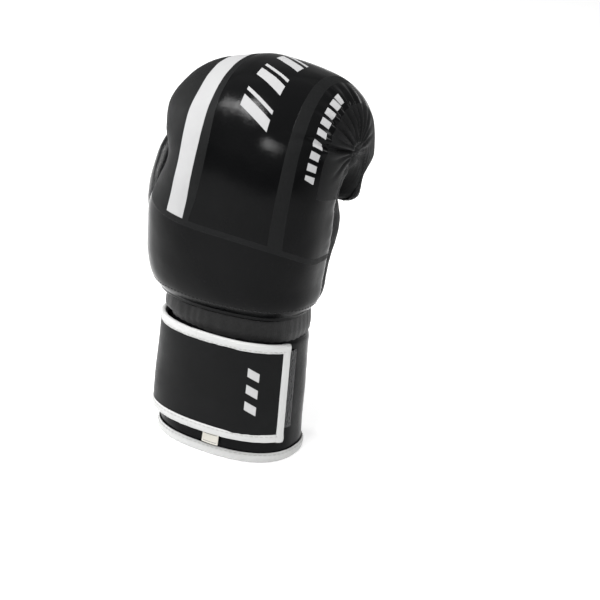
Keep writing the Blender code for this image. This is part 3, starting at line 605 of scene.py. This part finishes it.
def folds(points, toward):
    """Gathers round a focus on the little finger's side (1) or the thumb's (-1), and a cleft."""
    focus, table = (PINKY_FOCUS, PINKY_FOLDS) if toward > 0 else (THUMB_FOCUS, THUMB_FOLDS)
    y, z = points[..., 1] - focus[0], points[..., 2] - focus[1]
    distance = np.hypot(y, z)
    angle = np.degrees(np.arctan2(z, -y)) + lumps(points, 18.0, 3 + toward) * 15
    side = smooth((points[..., 0] * toward - 0.030) / 0.026)
    total = np.zeros(distance.shape)
    for at, (deep, width, length) in table.items():
        off = (angle - at + 180) % 360 - 180
        spread = width * (0.62 + 0.014 / np.maximum(distance, 0.010))
        fade = 1 - smooth((distance - 0.35 * length) / (0.65 * length))
        reach = smooth((distance - 0.001) / 0.009) * fade
        total -= deep * bell(off, 0.55 * spread) * reach
        total += 0.6 * deep * (bell(off - 1.3 * spread, spread) + bell(off + 1.3 * spread, spread)) * reach
    total -= 0.55 * bell(distance, 0.005)
    cleft = np.array((PIVOT_Y, PIVOT_Z)) - focus
    share = np.clip((y * cleft[0] + z * cleft[1]) / (cleft @ cleft), 0, 1)
    off = np.hypot(y - share * cleft[0], z - share * cleft[1])
    total -= 0.9 * bell(off, 0.0032) - 0.35 * bell(off - 0.0070, 0.0040)
    return side * total * 0.0032


def heel(points):
    """The little finger's side: fuller below the curled fingers, and the curl's lower corner drawn in."""
    x, y, z = (points[..., k] for k in range(3))
    fuller = bell(z - 0.179, 0.021) * smooth((0.202 - z) / 0.014)
    fuller = fuller * smooth((y - 0.002) / 0.018) * smooth((x - 0.028) / 0.026)
    drawn = smooth((0.216 - z) / 0.030) * smooth((y - 0.044) / 0.022) * smooth((x - 0.024) / 0.036)
    return 0.0058 * fuller - 0.0105 * drawn


def relief(points, edge):
    """How far the skin stands out from its smooth shape: gathers, a valley by the seam, and lumps."""
    height = folds(points, 1) + 0.55 * folds(points, -1)
    height += lumps(points, 24.0, 1) * 0.0015 + lumps(points, 75.0, 2) * 0.0002
    height += heel(points)
    height -= 0.0022 * smooth((-points[..., 0] - 0.008) / 0.022) * smooth((points[..., 2] - 0.240) / 0.020)
    pucker = np.sin(edge["run"] / 0.0105 * 2 * np.pi + lumps(points, 32.0, 7) * 7)
    height -= 0.0013 * bell(edge["off"], 0.0040)
    height += 0.00012 * pucker * bell(edge["off"] - 0.005, 0.0065) * smooth((edge["run"] - 0.03) / 0.03)
    return height


def back_skin():
    rows, columns = 236, 171
    along = evenly(lambda s: fist_point(s, 0.0), 0.0, 2.6, rows)
    turn = evenly(fist_round, -SEAM, SEAM, columns)
    grid = fist_point(along[:, None], turn[None, :])
    middle = columns // 2
    up = arc(grid, 0)
    run = np.broadcast_to(up[:, middle : middle + 1], up.shape)
    across = arc(grid, 1)
    across = across - across[:, middle : middle + 1]
    off = np.minimum(across - across[:, :1], across[:, -1:] - across)
    normal = normals_of(grid)
    height = relief(grid, {"off": off, "run": up})
    height -= 0.0016 * bell(up[-1:] - up, 0.004)
    outer = grid + normal * height[..., None]
    outer[..., 2] -= LIP_DROP * (1 - smooth(up / 0.024))
    outer, lip_uv = turned_in(outer, normal, LIP_ROWS)
    inner = outer - np.concatenate([normals_of(outer)[:LIP_ROWS], normal]) * SKIN
    x = straightened(across, run)
    y = run + spline(CROSS_DROP, across)
    uv = np.stack([x, y], -1)
    below = np.stack([np.broadcast_to(x[:1], (LIP_ROWS, columns)), y[:1] - lip_uv], -1)
    uv = np.concatenate([below, uv])
    made = shell("back_skin", outer, inner, uv, printed)
    return made, outer, normals_of(outer)


def turned_in(outer, normal, rows, radius=0.0030, sweep=150):
    """Adds rows below the first that roll inwards, and the distance of each below the edge."""
    flat = normal[0] * (1, 1, 0)
    flat /= np.linalg.norm(flat, axis=-1, keepdims=True)
    extra, down = [], []
    for k in range(rows, 0, -1):
        a = math.radians(sweep * k / rows)
        extra.append(outer[0] - flat * radius * (1 - math.cos(a)) - np.array([0, 0, radius * math.sin(a)]))
        down.append(radius * a)
    return np.concatenate([np.array(extra), outer]), np.array(down)[:, None]


def straightened(across, run):
    """Moves the printed edges on to straight lines of the map."""
    wide = 0.14
    middle, half = spline(STRIPE_MIDDLE, run[:, 0]), STRIPE_WIDTH / 2
    panel_left = middle + half + spline(MATT_WIDTH, run[:, 0])
    panel_right = spline(PANEL_RIGHT, run[:, 0])
    border = panel_right + spline(BORDER_WIDTH, run[:, 0])
    at = [middle - half, middle + half, panel_left, panel_right, border]
    to = [*STRIPE, *PANEL, BORDER]
    out = np.empty_like(across)
    for i in range(len(across)):
        edges = [a[i] for a in at]
        edges = [edges[0] - wide, *edges, edges[-1] + wide]
        out[i] = np.interp(across[i], edges, [to[0] - wide, *to, to[-1] + wide])
    return out


def palm_skin():
    rows, columns = 200, 131
    along = evenly(lambda s: fist_point(s, 105.0) * 0.6 + fist_point(s, 180.0) * 0.4, 0.0, 2.6, rows)
    turn = evenly(fist_round, SEAM + 0.6, 360 - SEAM - 0.6, columns)
    grid = fist_point(along[:, None], turn[None, :])
    across = arc(grid, 1)
    off = np.minimum(across, across[:, -1:] - across)
    up = arc(grid, 0)
    normal = normals_of(grid)
    height = relief(grid, {"off": off, "run": up})
    deep = smooth(np.hypot(grid[..., 1] - PIVOT_Y, grid[..., 2] - PIVOT_Z) / 0.016 - 0.4)
    height *= 0.15 + 0.85 * deep
    height -= 0.0016 * bell(up[-1:] - up, 0.004) * deep
    outer = grid + normal * height[..., None]
    outer[..., 2] -= LIP_DROP * (1 - smooth(up / 0.024))
    outer, lip_uv = turned_in(outer, normal, LIP_ROWS)
    inner = outer - np.concatenate([normals_of(outer)[:LIP_ROWS], normal]) * SKIN
    below = np.stack(np.broadcast_arrays(across[:1], -lip_uv), -1)
    uv = np.concatenate([below, np.stack([across, up], -1)])
    return shell("palm_skin", outer, inner, uv, matt)


def fingertip_skin():
    along = np.concatenate([np.linspace(2.62, 2.94, 20), [2.965, 2.985, 3.0]])
    ring = evenly(fist_round, -180, 180, 221)[:-1]
    grid = fist_point(along[:, None], ring[None, :])
    normal = normals_of(grid, ring=True)
    normal[-3:] = normal[-4:-3].mean(1, keepdims=True)
    up = arc(grid, 0)
    height = lumps(grid, 60.0, 5) * 0.0012 - 0.0014 * bell(up, 0.004) + heel(grid)
    height[-3:] = height[-4:-3].mean()
    outer = grid + normal * height[..., None]
    inner = outer - normal * SKIN
    across = np.linspace(0, 0.2, grid.shape[1] + 1)
    uv = np.stack(np.broadcast_arrays(across[None, :], up[:, :1]), -1)
    return shell("fingertip_skin", outer, inner, uv, matt, ring=True, pole=True)


back, back_points, back_normals = back_skin()
for made, nodes, slot in (
    (back, ("main_shell", "back_pad", "knuckle_pad"), "gloss_black"),
    (palm_skin(), ("palm_shell", "palm_pad"), "matt_black"),
    (fingertip_skin(), ("fingertip_panel", "finger_pad"), "matt_black"),
):
    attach(made, "fist")
    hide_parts(*nodes)


# Thumb ------------------------------------------------------------


def thumb_skin():
    """The thumb's skin: it starts where it comes out of the fist, and has two ruched seams."""
    fist = BVHTree.FromPolygons(*whole_fist())
    ring = np.linspace(0, 360, 161)[:-1]
    tries = np.linspace(0.0, 0.8, 161)
    probe = thumb_point(tries[:, None], ring[None, :])
    start = []
    for j in range(len(ring)):
        first = 0.8
        for i in range(len(tries) - 1, -1, -1):
            spot, normal, _, distance = fist.find_nearest(Vector(probe[i, j]))
            outside = (Vector(probe[i, j]) - spot).dot(normal) > 0
            if not outside or distance < 0.0007:
                break
            first = tries[i]
        start.append(first)
    start = np.array(start)
    for _ in range(6):
        start = np.maximum(start, (np.roll(start, 1) + np.roll(start, -1) + start) / 3)
    share = np.concatenate([np.linspace(0, 0.965, 110), [0.975, 0.985, 0.993, 1.0]])
    along = start[None, :] + share[:, None] * (2 - start[None, :])
    grid = thumb_point(along, ring[None, :])
    normal = normals_of(grid, ring=True)
    centre = thumb_axis(np.clip(along, 0, 1))
    if ((grid - centre) * normal).sum() < 0:
        normal = -normal
    normal[-4:] = normal[-5:-4].mean(1, keepdims=True)
    up = arc(grid, 0)
    height = lumps(grid, 45.0, 11) * 0.0014
    for at in (62.0, 250.0):
        off = ((ring[None, :] - at + 180) % 360 - 180) * 0.00040
        ruche = np.sin(up / 0.0052 * 2 * np.pi + lumps(grid, 80.0, 9) * 6)
        free = smooth((along - 0.25) / 0.3) * (1 - smooth((along - 1.6) / 0.3))
        height -= free * 0.0016 * bell(off, 0.0020)
        height += free * 0.0008 * ruche * bell(np.abs(off) - 0.0038, 0.0036)
    root = smooth(up / 0.006)
    height = height * root - 0.0010 * bell(up, 0.003)
    height = np.where(grid[..., 0] > -NEST_X - THUMB_CLEARANCE - 0.0008, np.minimum(height, 0.0), height)
    height[-4:] = height[-5:-4].mean()
    outer = grid + normal * height[..., None]
    inner = outer - normal * SKIN
    across = np.linspace(0, 0.13, len(ring) + 1)
    uv = np.stack(np.broadcast_arrays(across[None, :], up[:, :1]), -1)
    made = shell("thumb_skin", outer, inner, uv, gloss, ring=True, pole=True)
    return made, outer, normal


def whole_fist():
    along = evenly(lambda s: fist_point(s, 0.0), 0.0, 2.6, 120)
    ring = evenly(fist_round, -180, 180, 181)
    grid = fist_point(along[:, None], ring[None, :])
    n, m = grid.shape[:2]
    faces = []
    for i in range(n - 1):
        for j in range(m - 1):
            a = i * m + j
            faces.append((a, a + 1, a + m + 1, a + m))
    points = [Vector(p) for p in grid.reshape(-1, 3)]
    return points, faces


thumb, thumb_points, thumb_normals = thumb_skin()
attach(thumb, "thumb")
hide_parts("thumb_shell", "thumb_foam")
for name, column in (("thumb_stitches_front", 28), ("thumb_stitches_rear", 111)):
    seam = stitch_line(name, thumb_points[6:-8, column], thumb_normals[6:-8, column], black_thread)
    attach(seam, "thumb")

for name, path, away in (
    ("seam_stitches_thumb_side", back_points[LIP_ROWS:-3, 3], back_normals[LIP_ROWS:-3, 3]),
    ("seam_stitches_pinky_side", back_points[LIP_ROWS:-3, -4], back_normals[LIP_ROWS:-3, -4]),
    ("wrist_seam_stitches", back_points[LIP_ROWS + 5], back_normals[LIP_ROWS + 5]),
):
    seam = stitch_line(name, path, away, black_thread, clear=thumb_points.reshape(-1, 3))
    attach(seam, "fist")


# Cuff ------------------------------------------------------------


def cuff_angles(count):
    start, end = PALM + SLIT_HALF_ANGLE, PALM + 360 - SLIT_HALF_ANGLE
    return evenly(lambda a: cuff_point(a, 0.05), start, end, count)


def cuff_skin():
    """Skin and foam of the cuff in one padded wall, pinched at its edges and slightly lumpy."""
    thick = SKIN + GAP + CUFF_FOAM
    angle = cuff_angles(260)
    z = np.linspace(0.0024, CUFF_HEIGHT, 70)
    edge = np.minimum(z - z[0], z[-1] - z)[:, None]
    sides = np.minimum(angle - angle[0], angle[-1] - angle)[None, :] * 0.0009
    pinch = 0.0013 * bell(edge, 0.0030) + 0.0010 * bell(sides, 0.003)
    grid = cuff_point(angle[None, :], z[:, None])
    bumps = lumps(grid, 26.0, 21) * 0.0007 + lumps(grid, 90.0, 22) * 0.0001 - 0.0003
    outer = cuff_point(angle[None, :], z[:, None], pinch - bumps)
    inner = cuff_point(angle[None, :], z[:, None], thick - pinch)
    uv = flat_map(grid)
    return shell("cuff_skin", outer, inner, uv, gloss)


def hem():
    """The white tape folded over the cuff's lower edge."""
    angle = cuff_angles(260)
    full = SKIN + GAP + CUFF_FOAM + GAP + LINING
    profile = np.array([
        (-0.0011, 0.0016), (-0.0012, 0.0040), (-0.0011, 0.0066), (-0.0007, HEM_HEIGHT),
        (-0.0002, HEM_HEIGHT - 0.0002), (-0.0002, 0.0024), (0.001, 0.0020), (full - 0.0008, 0.0018),
        (full, 0.0016), (full + 0.0002, 0.0009), (full - 0.0008, 0.0), (0.003, 0.0), (0.0004, 0.0),
        (-0.0006, 0.0005),
    ])
    ripple = 1 + 0.10 * np.sin(np.arange(len(angle)) * 1.9)
    points = []
    for a, r in zip(angle, ripple):
        depth = np.where(profile[:, 0] < 0, profile[:, 0] * r, profile[:, 0])
        points.append(cuff_point(a, profile[:, 1], depth))
    points = np.array(points)
    return swept("hem_tape", points)


def outwards(made):
    made.data.calc_loop_triangles()
    points = np.array([v.co for v in made.data.vertices])
    a, b, c = (points[[t.vertices[k] for t in made.data.loop_triangles]] for k in range(3))
    if (a * np.cross(b, c)).sum() < 0:
        made.data.flip_normals()
    return made


def swept(name, points):
    """A tape: a closed solid through one profile of points after another."""
    n, m = points.shape[:2]
    faces = [
        [i * m + k, i * m + (k + 1) % m, (i + 1) * m + (k + 1) % m, (i + 1) * m + k]
        for i in range(n - 1) for k in range(m)
    ]
    faces += [list(range(m))[::-1], [(n - 1) * m + k for k in range(m)]]
    return outwards(mesh_object(name, points.reshape(-1, 3), faces, white))


def cuff_lining_skin():
    start = SKIN + GAP + CUFF_FOAM + GAP
    angle = cuff_angles(220)
    z = np.linspace(0.0024, CUFF_HEIGHT, 80)
    grid = cuff_point(angle[None, :], z[:, None], start)
    wave = lumps(grid, 55.0, 31) * 0.0006
    inner = cuff_point(angle[None, :], z[:, None], start + LINING + 0.0003 + wave)
    return shell("cuff_lining_cloth", grid, inner, flat_map(grid), lining_cloth)


def gusset():
    angle = np.linspace(PALM - SLIT_HALF_ANGLE + 1.2, PALM + SLIT_HALF_ANGLE - 1.2, 61)
    z = np.linspace(0.006, CUFF_HEIGHT - 0.004, 150)
    u = (angle - PALM) / (SLIT_HALF_ANGLE - 1.2)
    grid = cuff_point(angle[None, :], z[:, None], 0.0028)
    pleat = np.sin(z[:, None] / 0.0046 * 2 * np.pi + lumps(grid, 90.0, 41) * 4)
    pleat = pleat * (0.35 + 0.65 * np.abs(u[None, :]))
    centre = 0.0028 + 0.0012 * (1 - u[None, :] ** 2) - 0.0005 * pleat
    outer = cuff_point(angle[None, :], z[:, None], centre - 0.0007)
    inner = cuff_point(angle[None, :], z[:, None], centre + 0.0007)
    uv = flat_map(grid)
    return shell("slit_gusset_cloth", outer, inner, uv, sleeve_cloth)


def sleeve():
    """The stretch fabric between cuff and fist, drawn in a little and gathered upright."""
    angle = evenly(lambda a: cuff_point(a, 0.1), 0, 360, 321)[:-1]
    z = np.linspace(0.0880, 0.1175, 60)
    t = ((z - z[0]) / (z[-1] - z[0]))[:, None]
    grid = cuff_point(angle[None, :], z[:, None])
    turn = np.radians(angle)
    gather = np.sin(turn * 46 + 2 * np.sin(turn * 7))[None, :] + lumps(grid, 60.0, 51) * 1.5
    waist = 0.0016 + 0.0010 * smooth(t * 1.3) - 0.0008 * np.sin(np.pi * np.clip(t * 1.25, 0, 1))
    full = smooth((z - 0.0912) / 0.007) * (1 - smooth((z - 0.1090) / 0.0055))
    depth = waist - 0.00010 * gather * np.sin(np.pi * np.clip(t + 0.1, 0, 1))
    depth -= full[:, None] * (0.0010 + 0.0042 * smooth((-grid[..., 0] - 0.018) / 0.026))
    outer = cuff_point(angle[None, :], z[:, None], depth)
    inner = cuff_point(angle[None, :], z[:, None], depth + 0.0013)
    across = np.linspace(0, 0.29, len(angle) + 1)
    uv = np.stack(np.broadcast_arrays(across[None, :], z[:, None]), -1)
    return shell("sleeve_cloth", outer, inner, uv, sleeve_cloth, ring=True)


for made, node, slot in (
    (cuff_skin(), ("cuff_shell", "cuff_foam"), "gloss_black"),
    (hem(), ("hem_binding",), "white_binding"),
    (cuff_lining_skin(), ("cuff_lining",), "lining"),
    (gusset(), ("slit_gusset",), "matt_black"),
):
    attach(made, "cuff")
    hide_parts(*node)

wrist = sleeve()
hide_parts("wrist_sleeve")
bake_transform(wrist)

hem_angles = cuff_angles(400)
hem_path = cuff_point(hem_angles, 0.0061, -0.00125)
hem_out = cuff_point(hem_angles, 0.0061, -0.0100) - cuff_point(hem_angles, 0.0061, 0)
hem_seam = stitch_line("hem_stitches", hem_path, hem_out, white_thread, spacing=0.0036, length=0.0027)
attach(hem_seam, "cuff")


# Strap ------------------------------------------------------------


def strap_cloth(name, start, end):
    """A stretch of the strap's body: two skins over a thin core, slightly full between the bindings."""
    low, high = STRAP_BOTTOM + 0.0022, STRAP_TOP - 0.0022
    angle = np.linspace(start, end, max(int((end - start) * 1.4), 24))
    z = np.linspace(low, high, 60)
    grid = strap_point(angle[None, :], z[:, None], STRAP_THICKNESS)
    t = (z - low) / (high - low)
    crown = (0.0005 * np.sin(np.pi * t))[:, None] + lumps(grid, 28.0, 61) * 0.0010
    outer = strap_point(angle[None, :], z[:, None], STRAP_THICKNESS + crown)
    inner = strap_point(angle[None, :], z[:, None], 0.0)
    uv = flat_map(grid)
    made = shell(name, outer, inner, uv, strap_print if end == STRAP_END else satin, rim=0.0)
    made.data.set_sharp_from_angle(angle=math.radians(60))
    return made


def binding_profile(height):
    """Half-way heights (along the strap's width, above its inner face) of the tape folded over an edge."""
    a = np.linspace(-90, 90, 9)
    middle, half = STRAP_THICKNESS / 2 + BINDING_PROUD / 4, STRAP_THICKNESS / 2 + BINDING_PROUD * 0.75
    curve = [(half - half * math.cos(math.radians(v)), middle + half * math.sin(math.radians(v))) for v in a]
    inside = [(height, middle - half), (height * 0.5, middle - half - 0.0001)]
    outer = middle + half
    outside = [(height * 0.45, outer + 0.0003), (height * 0.8, outer + 0.0001), (height, outer - 0.0003)]
    return np.array(inside + curve + outside)


def binding(name, start, end, top):
    """A white tape folded over one long edge of the strap."""
    angle = np.linspace(start, end, max(int((end - start) * 1.6), 24))
    profile = binding_profile(BINDING_HEIGHT)
    edge = STRAP_TOP if top else STRAP_BOTTOM
    z = edge - profile[:, 0] if top else edge + profile[:, 0]
    points = strap_point(angle[:, None], z[None, :], profile[None, :, 1])
    ripple = lumps(points, 160.0, 71) * 0.0003
    points = strap_point(angle[:, None], z[None, :], profile[None, :, 1] + ripple)
    return swept(name, points)


def end_binding():
    """The tape across the strap's free end, which covers the ends of the long ones."""
    profile = binding_profile(BINDING_HEIGHT)
    z = np.linspace(STRAP_BOTTOM + 0.0004, STRAP_TOP - 0.0004, 90)
    near_end = 308.0  # the angle at which a degree's length is taken
    per_degree = float(np.linalg.norm(strap_point(near_end, 0.05, 0) - strap_point(near_end + 1, 0.05, 0)))
    angle = STRAP_END + 0.4 - profile[:, 0] / per_degree
    height = profile[None, :, 1] + 0.0003 * np.sign(profile[None, :, 1] - 0.001)
    points = strap_point(angle[None, :], z[:, None], height)
    return swept("strap_end_tape", points)


def bent(made, bend, parents):
    """Bakes a stretch of the strap that has a fold where it lies, without bending it, or lets it ride when it
    has none.
    """
    if bend is None:
        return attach(made, parents)
    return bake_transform(made)


STRETCHES = (
    ("sewn", STRAP_START, 106.0, SEAM_BEND, ("cuff", "strap_palm_part"), ("strap_anchor", "strap_palm")),
    ("side", 106.0, 180.0, FOLD_AT, ("strap_palm_part", "strap_side_part"), ("strap_side",)),
    ("back", 180.0, 264.0, PEEL_AT, ("strap_side_part", "strap_tip_part"), ()),
    ("tip", 264.0, STRAP_END, None, "strap_tip_part", ("strap_tip",)),
)
TAPED = {
    "sewn": ("strap_palm_top_binding", "strap_palm_bottom_binding"),
    "side": ("strap_side_top_binding", "strap_side_bottom_binding"),
}
for part, start, end, fold, parents, nodes in STRETCHES:
    body = strap_cloth("strap_" + part + "_cloth", start, end)
    bent(body, fold, parents)
    if nodes:
        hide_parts(*nodes)
    for top in (True, False):
        edge = "top" if top else "bottom"
        tape = binding(f"strap_{part}_{edge}_tape", start, end, top)
        bent(tape, fold, parents)
        if part in TAPED:
            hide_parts(TAPED[part][0 if top else 1])
        angles = np.linspace(start + 0.3, end - 0.3, 200)
        z = STRAP_TOP - BINDING_HEIGHT * 0.80 if top else STRAP_BOTTOM + BINDING_HEIGHT * 0.80
        path = strap_point(angles, z, STRAP_THICKNESS + BINDING_PROUD + 0.0001)
        away = strap_point(angles, z, 0.02) - strap_point(angles, z, 0.0)
        seam = stitch_line(
            f"strap_{part}_{edge}_stitches", path, away, white_thread, spacing=0.0036, length=0.0027
        )
        bent(seam, fold, parents)


def patch(name, first, last, low, high, near, far, material, seed):
    """Hook or loop tape with its pile modelled as a fine rough surface."""
    angle = np.linspace(first, last, int((last - first) * 2.6))
    z = np.linspace(low, high, 130)
    grid = cuff_point(angle[None, :], z[:, None], near(angle))
    fuzz = lumps(grid, 900.0, seed) * 0.0005
    outer = cuff_point(angle[None, :], z[:, None], near(angle) + fuzz)
    inner = cuff_point(angle[None, :], z[:, None], far)
    uv = flat_map(grid)
    return outwards(shell(name, outer, inner, uv, material))


def woven_tag():
    low, high = (np.array(v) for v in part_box("size_label"))
    x = np.linspace(low[0], high[0], 40)
    z = np.linspace(low[2], high[2], 30)
    middle = (low[1] + high[1]) / 2
    curl = 0.0005 * np.sin(np.linspace(0, np.pi, 40))[None, :]
    curl = curl + 0.0006 * ((high[2] - z) / (high[2] - low[2]))[:, None] ** 2
    outer = np.stack(np.broadcast_arrays(x[None, :], middle - 0.0003 - curl, z[:, None]), -1)
    inner = outer + (0, 0.0006, 0)
    uv = outer[..., [0, 2]] - (low[0], low[2])
    return outwards(shell("woven_tag", outer, inner, uv, tag))


for made, body, node, slot in (
    (end_binding(), "strap_tip_part", "strap_tip_binding", "white_binding"),
    (patch("loop_pile", 216, 350, 0.026, 0.084, lambda a: -0.0013, -0.0002, loops, 81),
     "cuff", "loop_patch", "hook_and_loop"),
    (patch("hook_pile", 284, 327, 0.028, 0.082, lambda a: 0.0002 - spline(STRAP_LIFT, a), -0.0019, hooks, 82),
     "strap_tip_part", "hook_patch", "hook_and_loop"),
    (woven_tag(), "label", "size_label", "label_white"),
):
    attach(made, body)
    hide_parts(node)

for node, material in (
    ("grip_bar", foam), ("hand_lining", lining_cloth), ("thumb_lining", lining_cloth),
    ("thumb_lock_tab", matt),
):
    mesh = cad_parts[node].data
    mesh.materials.clear()
    mesh.materials.append(material)

# Stage ------------------------------------------------------------


def floor():
    """A pale flat floor that reaches far behind the object."""
    s = Shade("pale_floor", Roughness=0.9, Emission_Color=(1, 1, 1, 1), Emission_Strength=0.32)
    s.link(s.blend(s.noise(6, 2), (0.86, 0.86, 0.86), (0.88, 0.88, 0.88)), "Base Color")
    size, z = 40.0, -0.0002
    points = np.array([(-size, -size, z), (size, -size, z), (size, size, z), (-size, size, z)])
    made = mesh_object("floor", points, [[0, 1, 2, 3]], s.material)


def area_light(name, place, target, size, energy):
    data = bpy.data.lights.new(name, "AREA")
    data.shape, data.size, data.size_y, data.energy = "RECTANGLE", size[0], size[1], energy
    made = bpy.data.objects.new(name, data)
    bpy.context.scene.collection.objects.link(made)
    made.location = place
    made.rotation_mode = "QUATERNION"
    made.rotation_quaternion = (Vector(place) - Vector(target)).to_track_quat("Z", "Y")


def camera(azimuth=27.0, elevation=20.0, roll=6.0, lens=93.0, distance=1.1):
    a, e, r = (math.radians(v) for v in (azimuth, elevation, roll))
    back = Vector((math.sin(a) * math.cos(e), -math.cos(a) * math.cos(e), math.sin(e)))
    right = Vector((math.cos(a), math.sin(a), 0))
    up = back.cross(right)
    sideways = right * math.cos(r) + up * math.sin(r)
    upward = -right * math.sin(r) + up * math.cos(r)
    target = Vector((0, 0, 0.14)) + sideways * 0.0373 + upward * -0.033
    data = bpy.data.cameras.new("camera")
    data.lens, data.sensor_width = lens, 36.0
    data.clip_start, data.clip_end = 0.05, 100.0
    made = bpy.data.objects.new("camera", data)
    bpy.context.scene.collection.objects.link(made)
    turned = Matrix((sideways, upward, back)).transposed().to_4x4()
    made.matrix_world = Matrix.Translation(target + back * distance) @ turned
    bpy.context.scene.camera = made


floor()
camera()
area_light("key", (-0.69, -0.69, 1.81), (0, 0, 0.18), (0.50, 0.36), 34)
area_light("window", (0.20, -1.54, 1.28), (0, 0, 0.18), (0.36, 0.24), 12)
area_light("side", (-1.8, -0.1, 0.75), (0, 0, 0.14), (0.28, 1.0), 16)
area_light("rim", (1.3, 0.5, 1.2), (0, 0, 0.16), (0.5, 0.5), 9)
sky = bpy.data.lights.new("sky", "SUN")
sky.energy, sky.angle = 0.95, math.radians(120)
overhead = bpy.data.objects.new("sky", sky)
bpy.context.scene.collection.objects.link(overhead)
overhead.rotation_euler = (math.radians(18), math.radians(10), 0)
world = bpy.data.worlds.new("studio")
world.use_nodes = True
world.node_tree.nodes["Background"].inputs["Color"].default_value = (1, 1, 1, 1)
# A white backdrop that lights the object less than it shows
share = world.node_tree.nodes.new("ShaderNodeMath")
share.operation = "MULTIPLY_ADD"
share.inputs[1].default_value, share.inputs[2].default_value = 0.70, 0.32
path = world.node_tree.nodes.new("ShaderNodeLightPath")
world.node_tree.links.new(path.outputs["Is Camera Ray"], share.inputs[0])
world.node_tree.links.new(share.outputs[0], world.node_tree.nodes["Background"].inputs["Strength"])
bpy.context.scene.world = world
bpy.context.scene.view_settings.view_transform = "Standard"
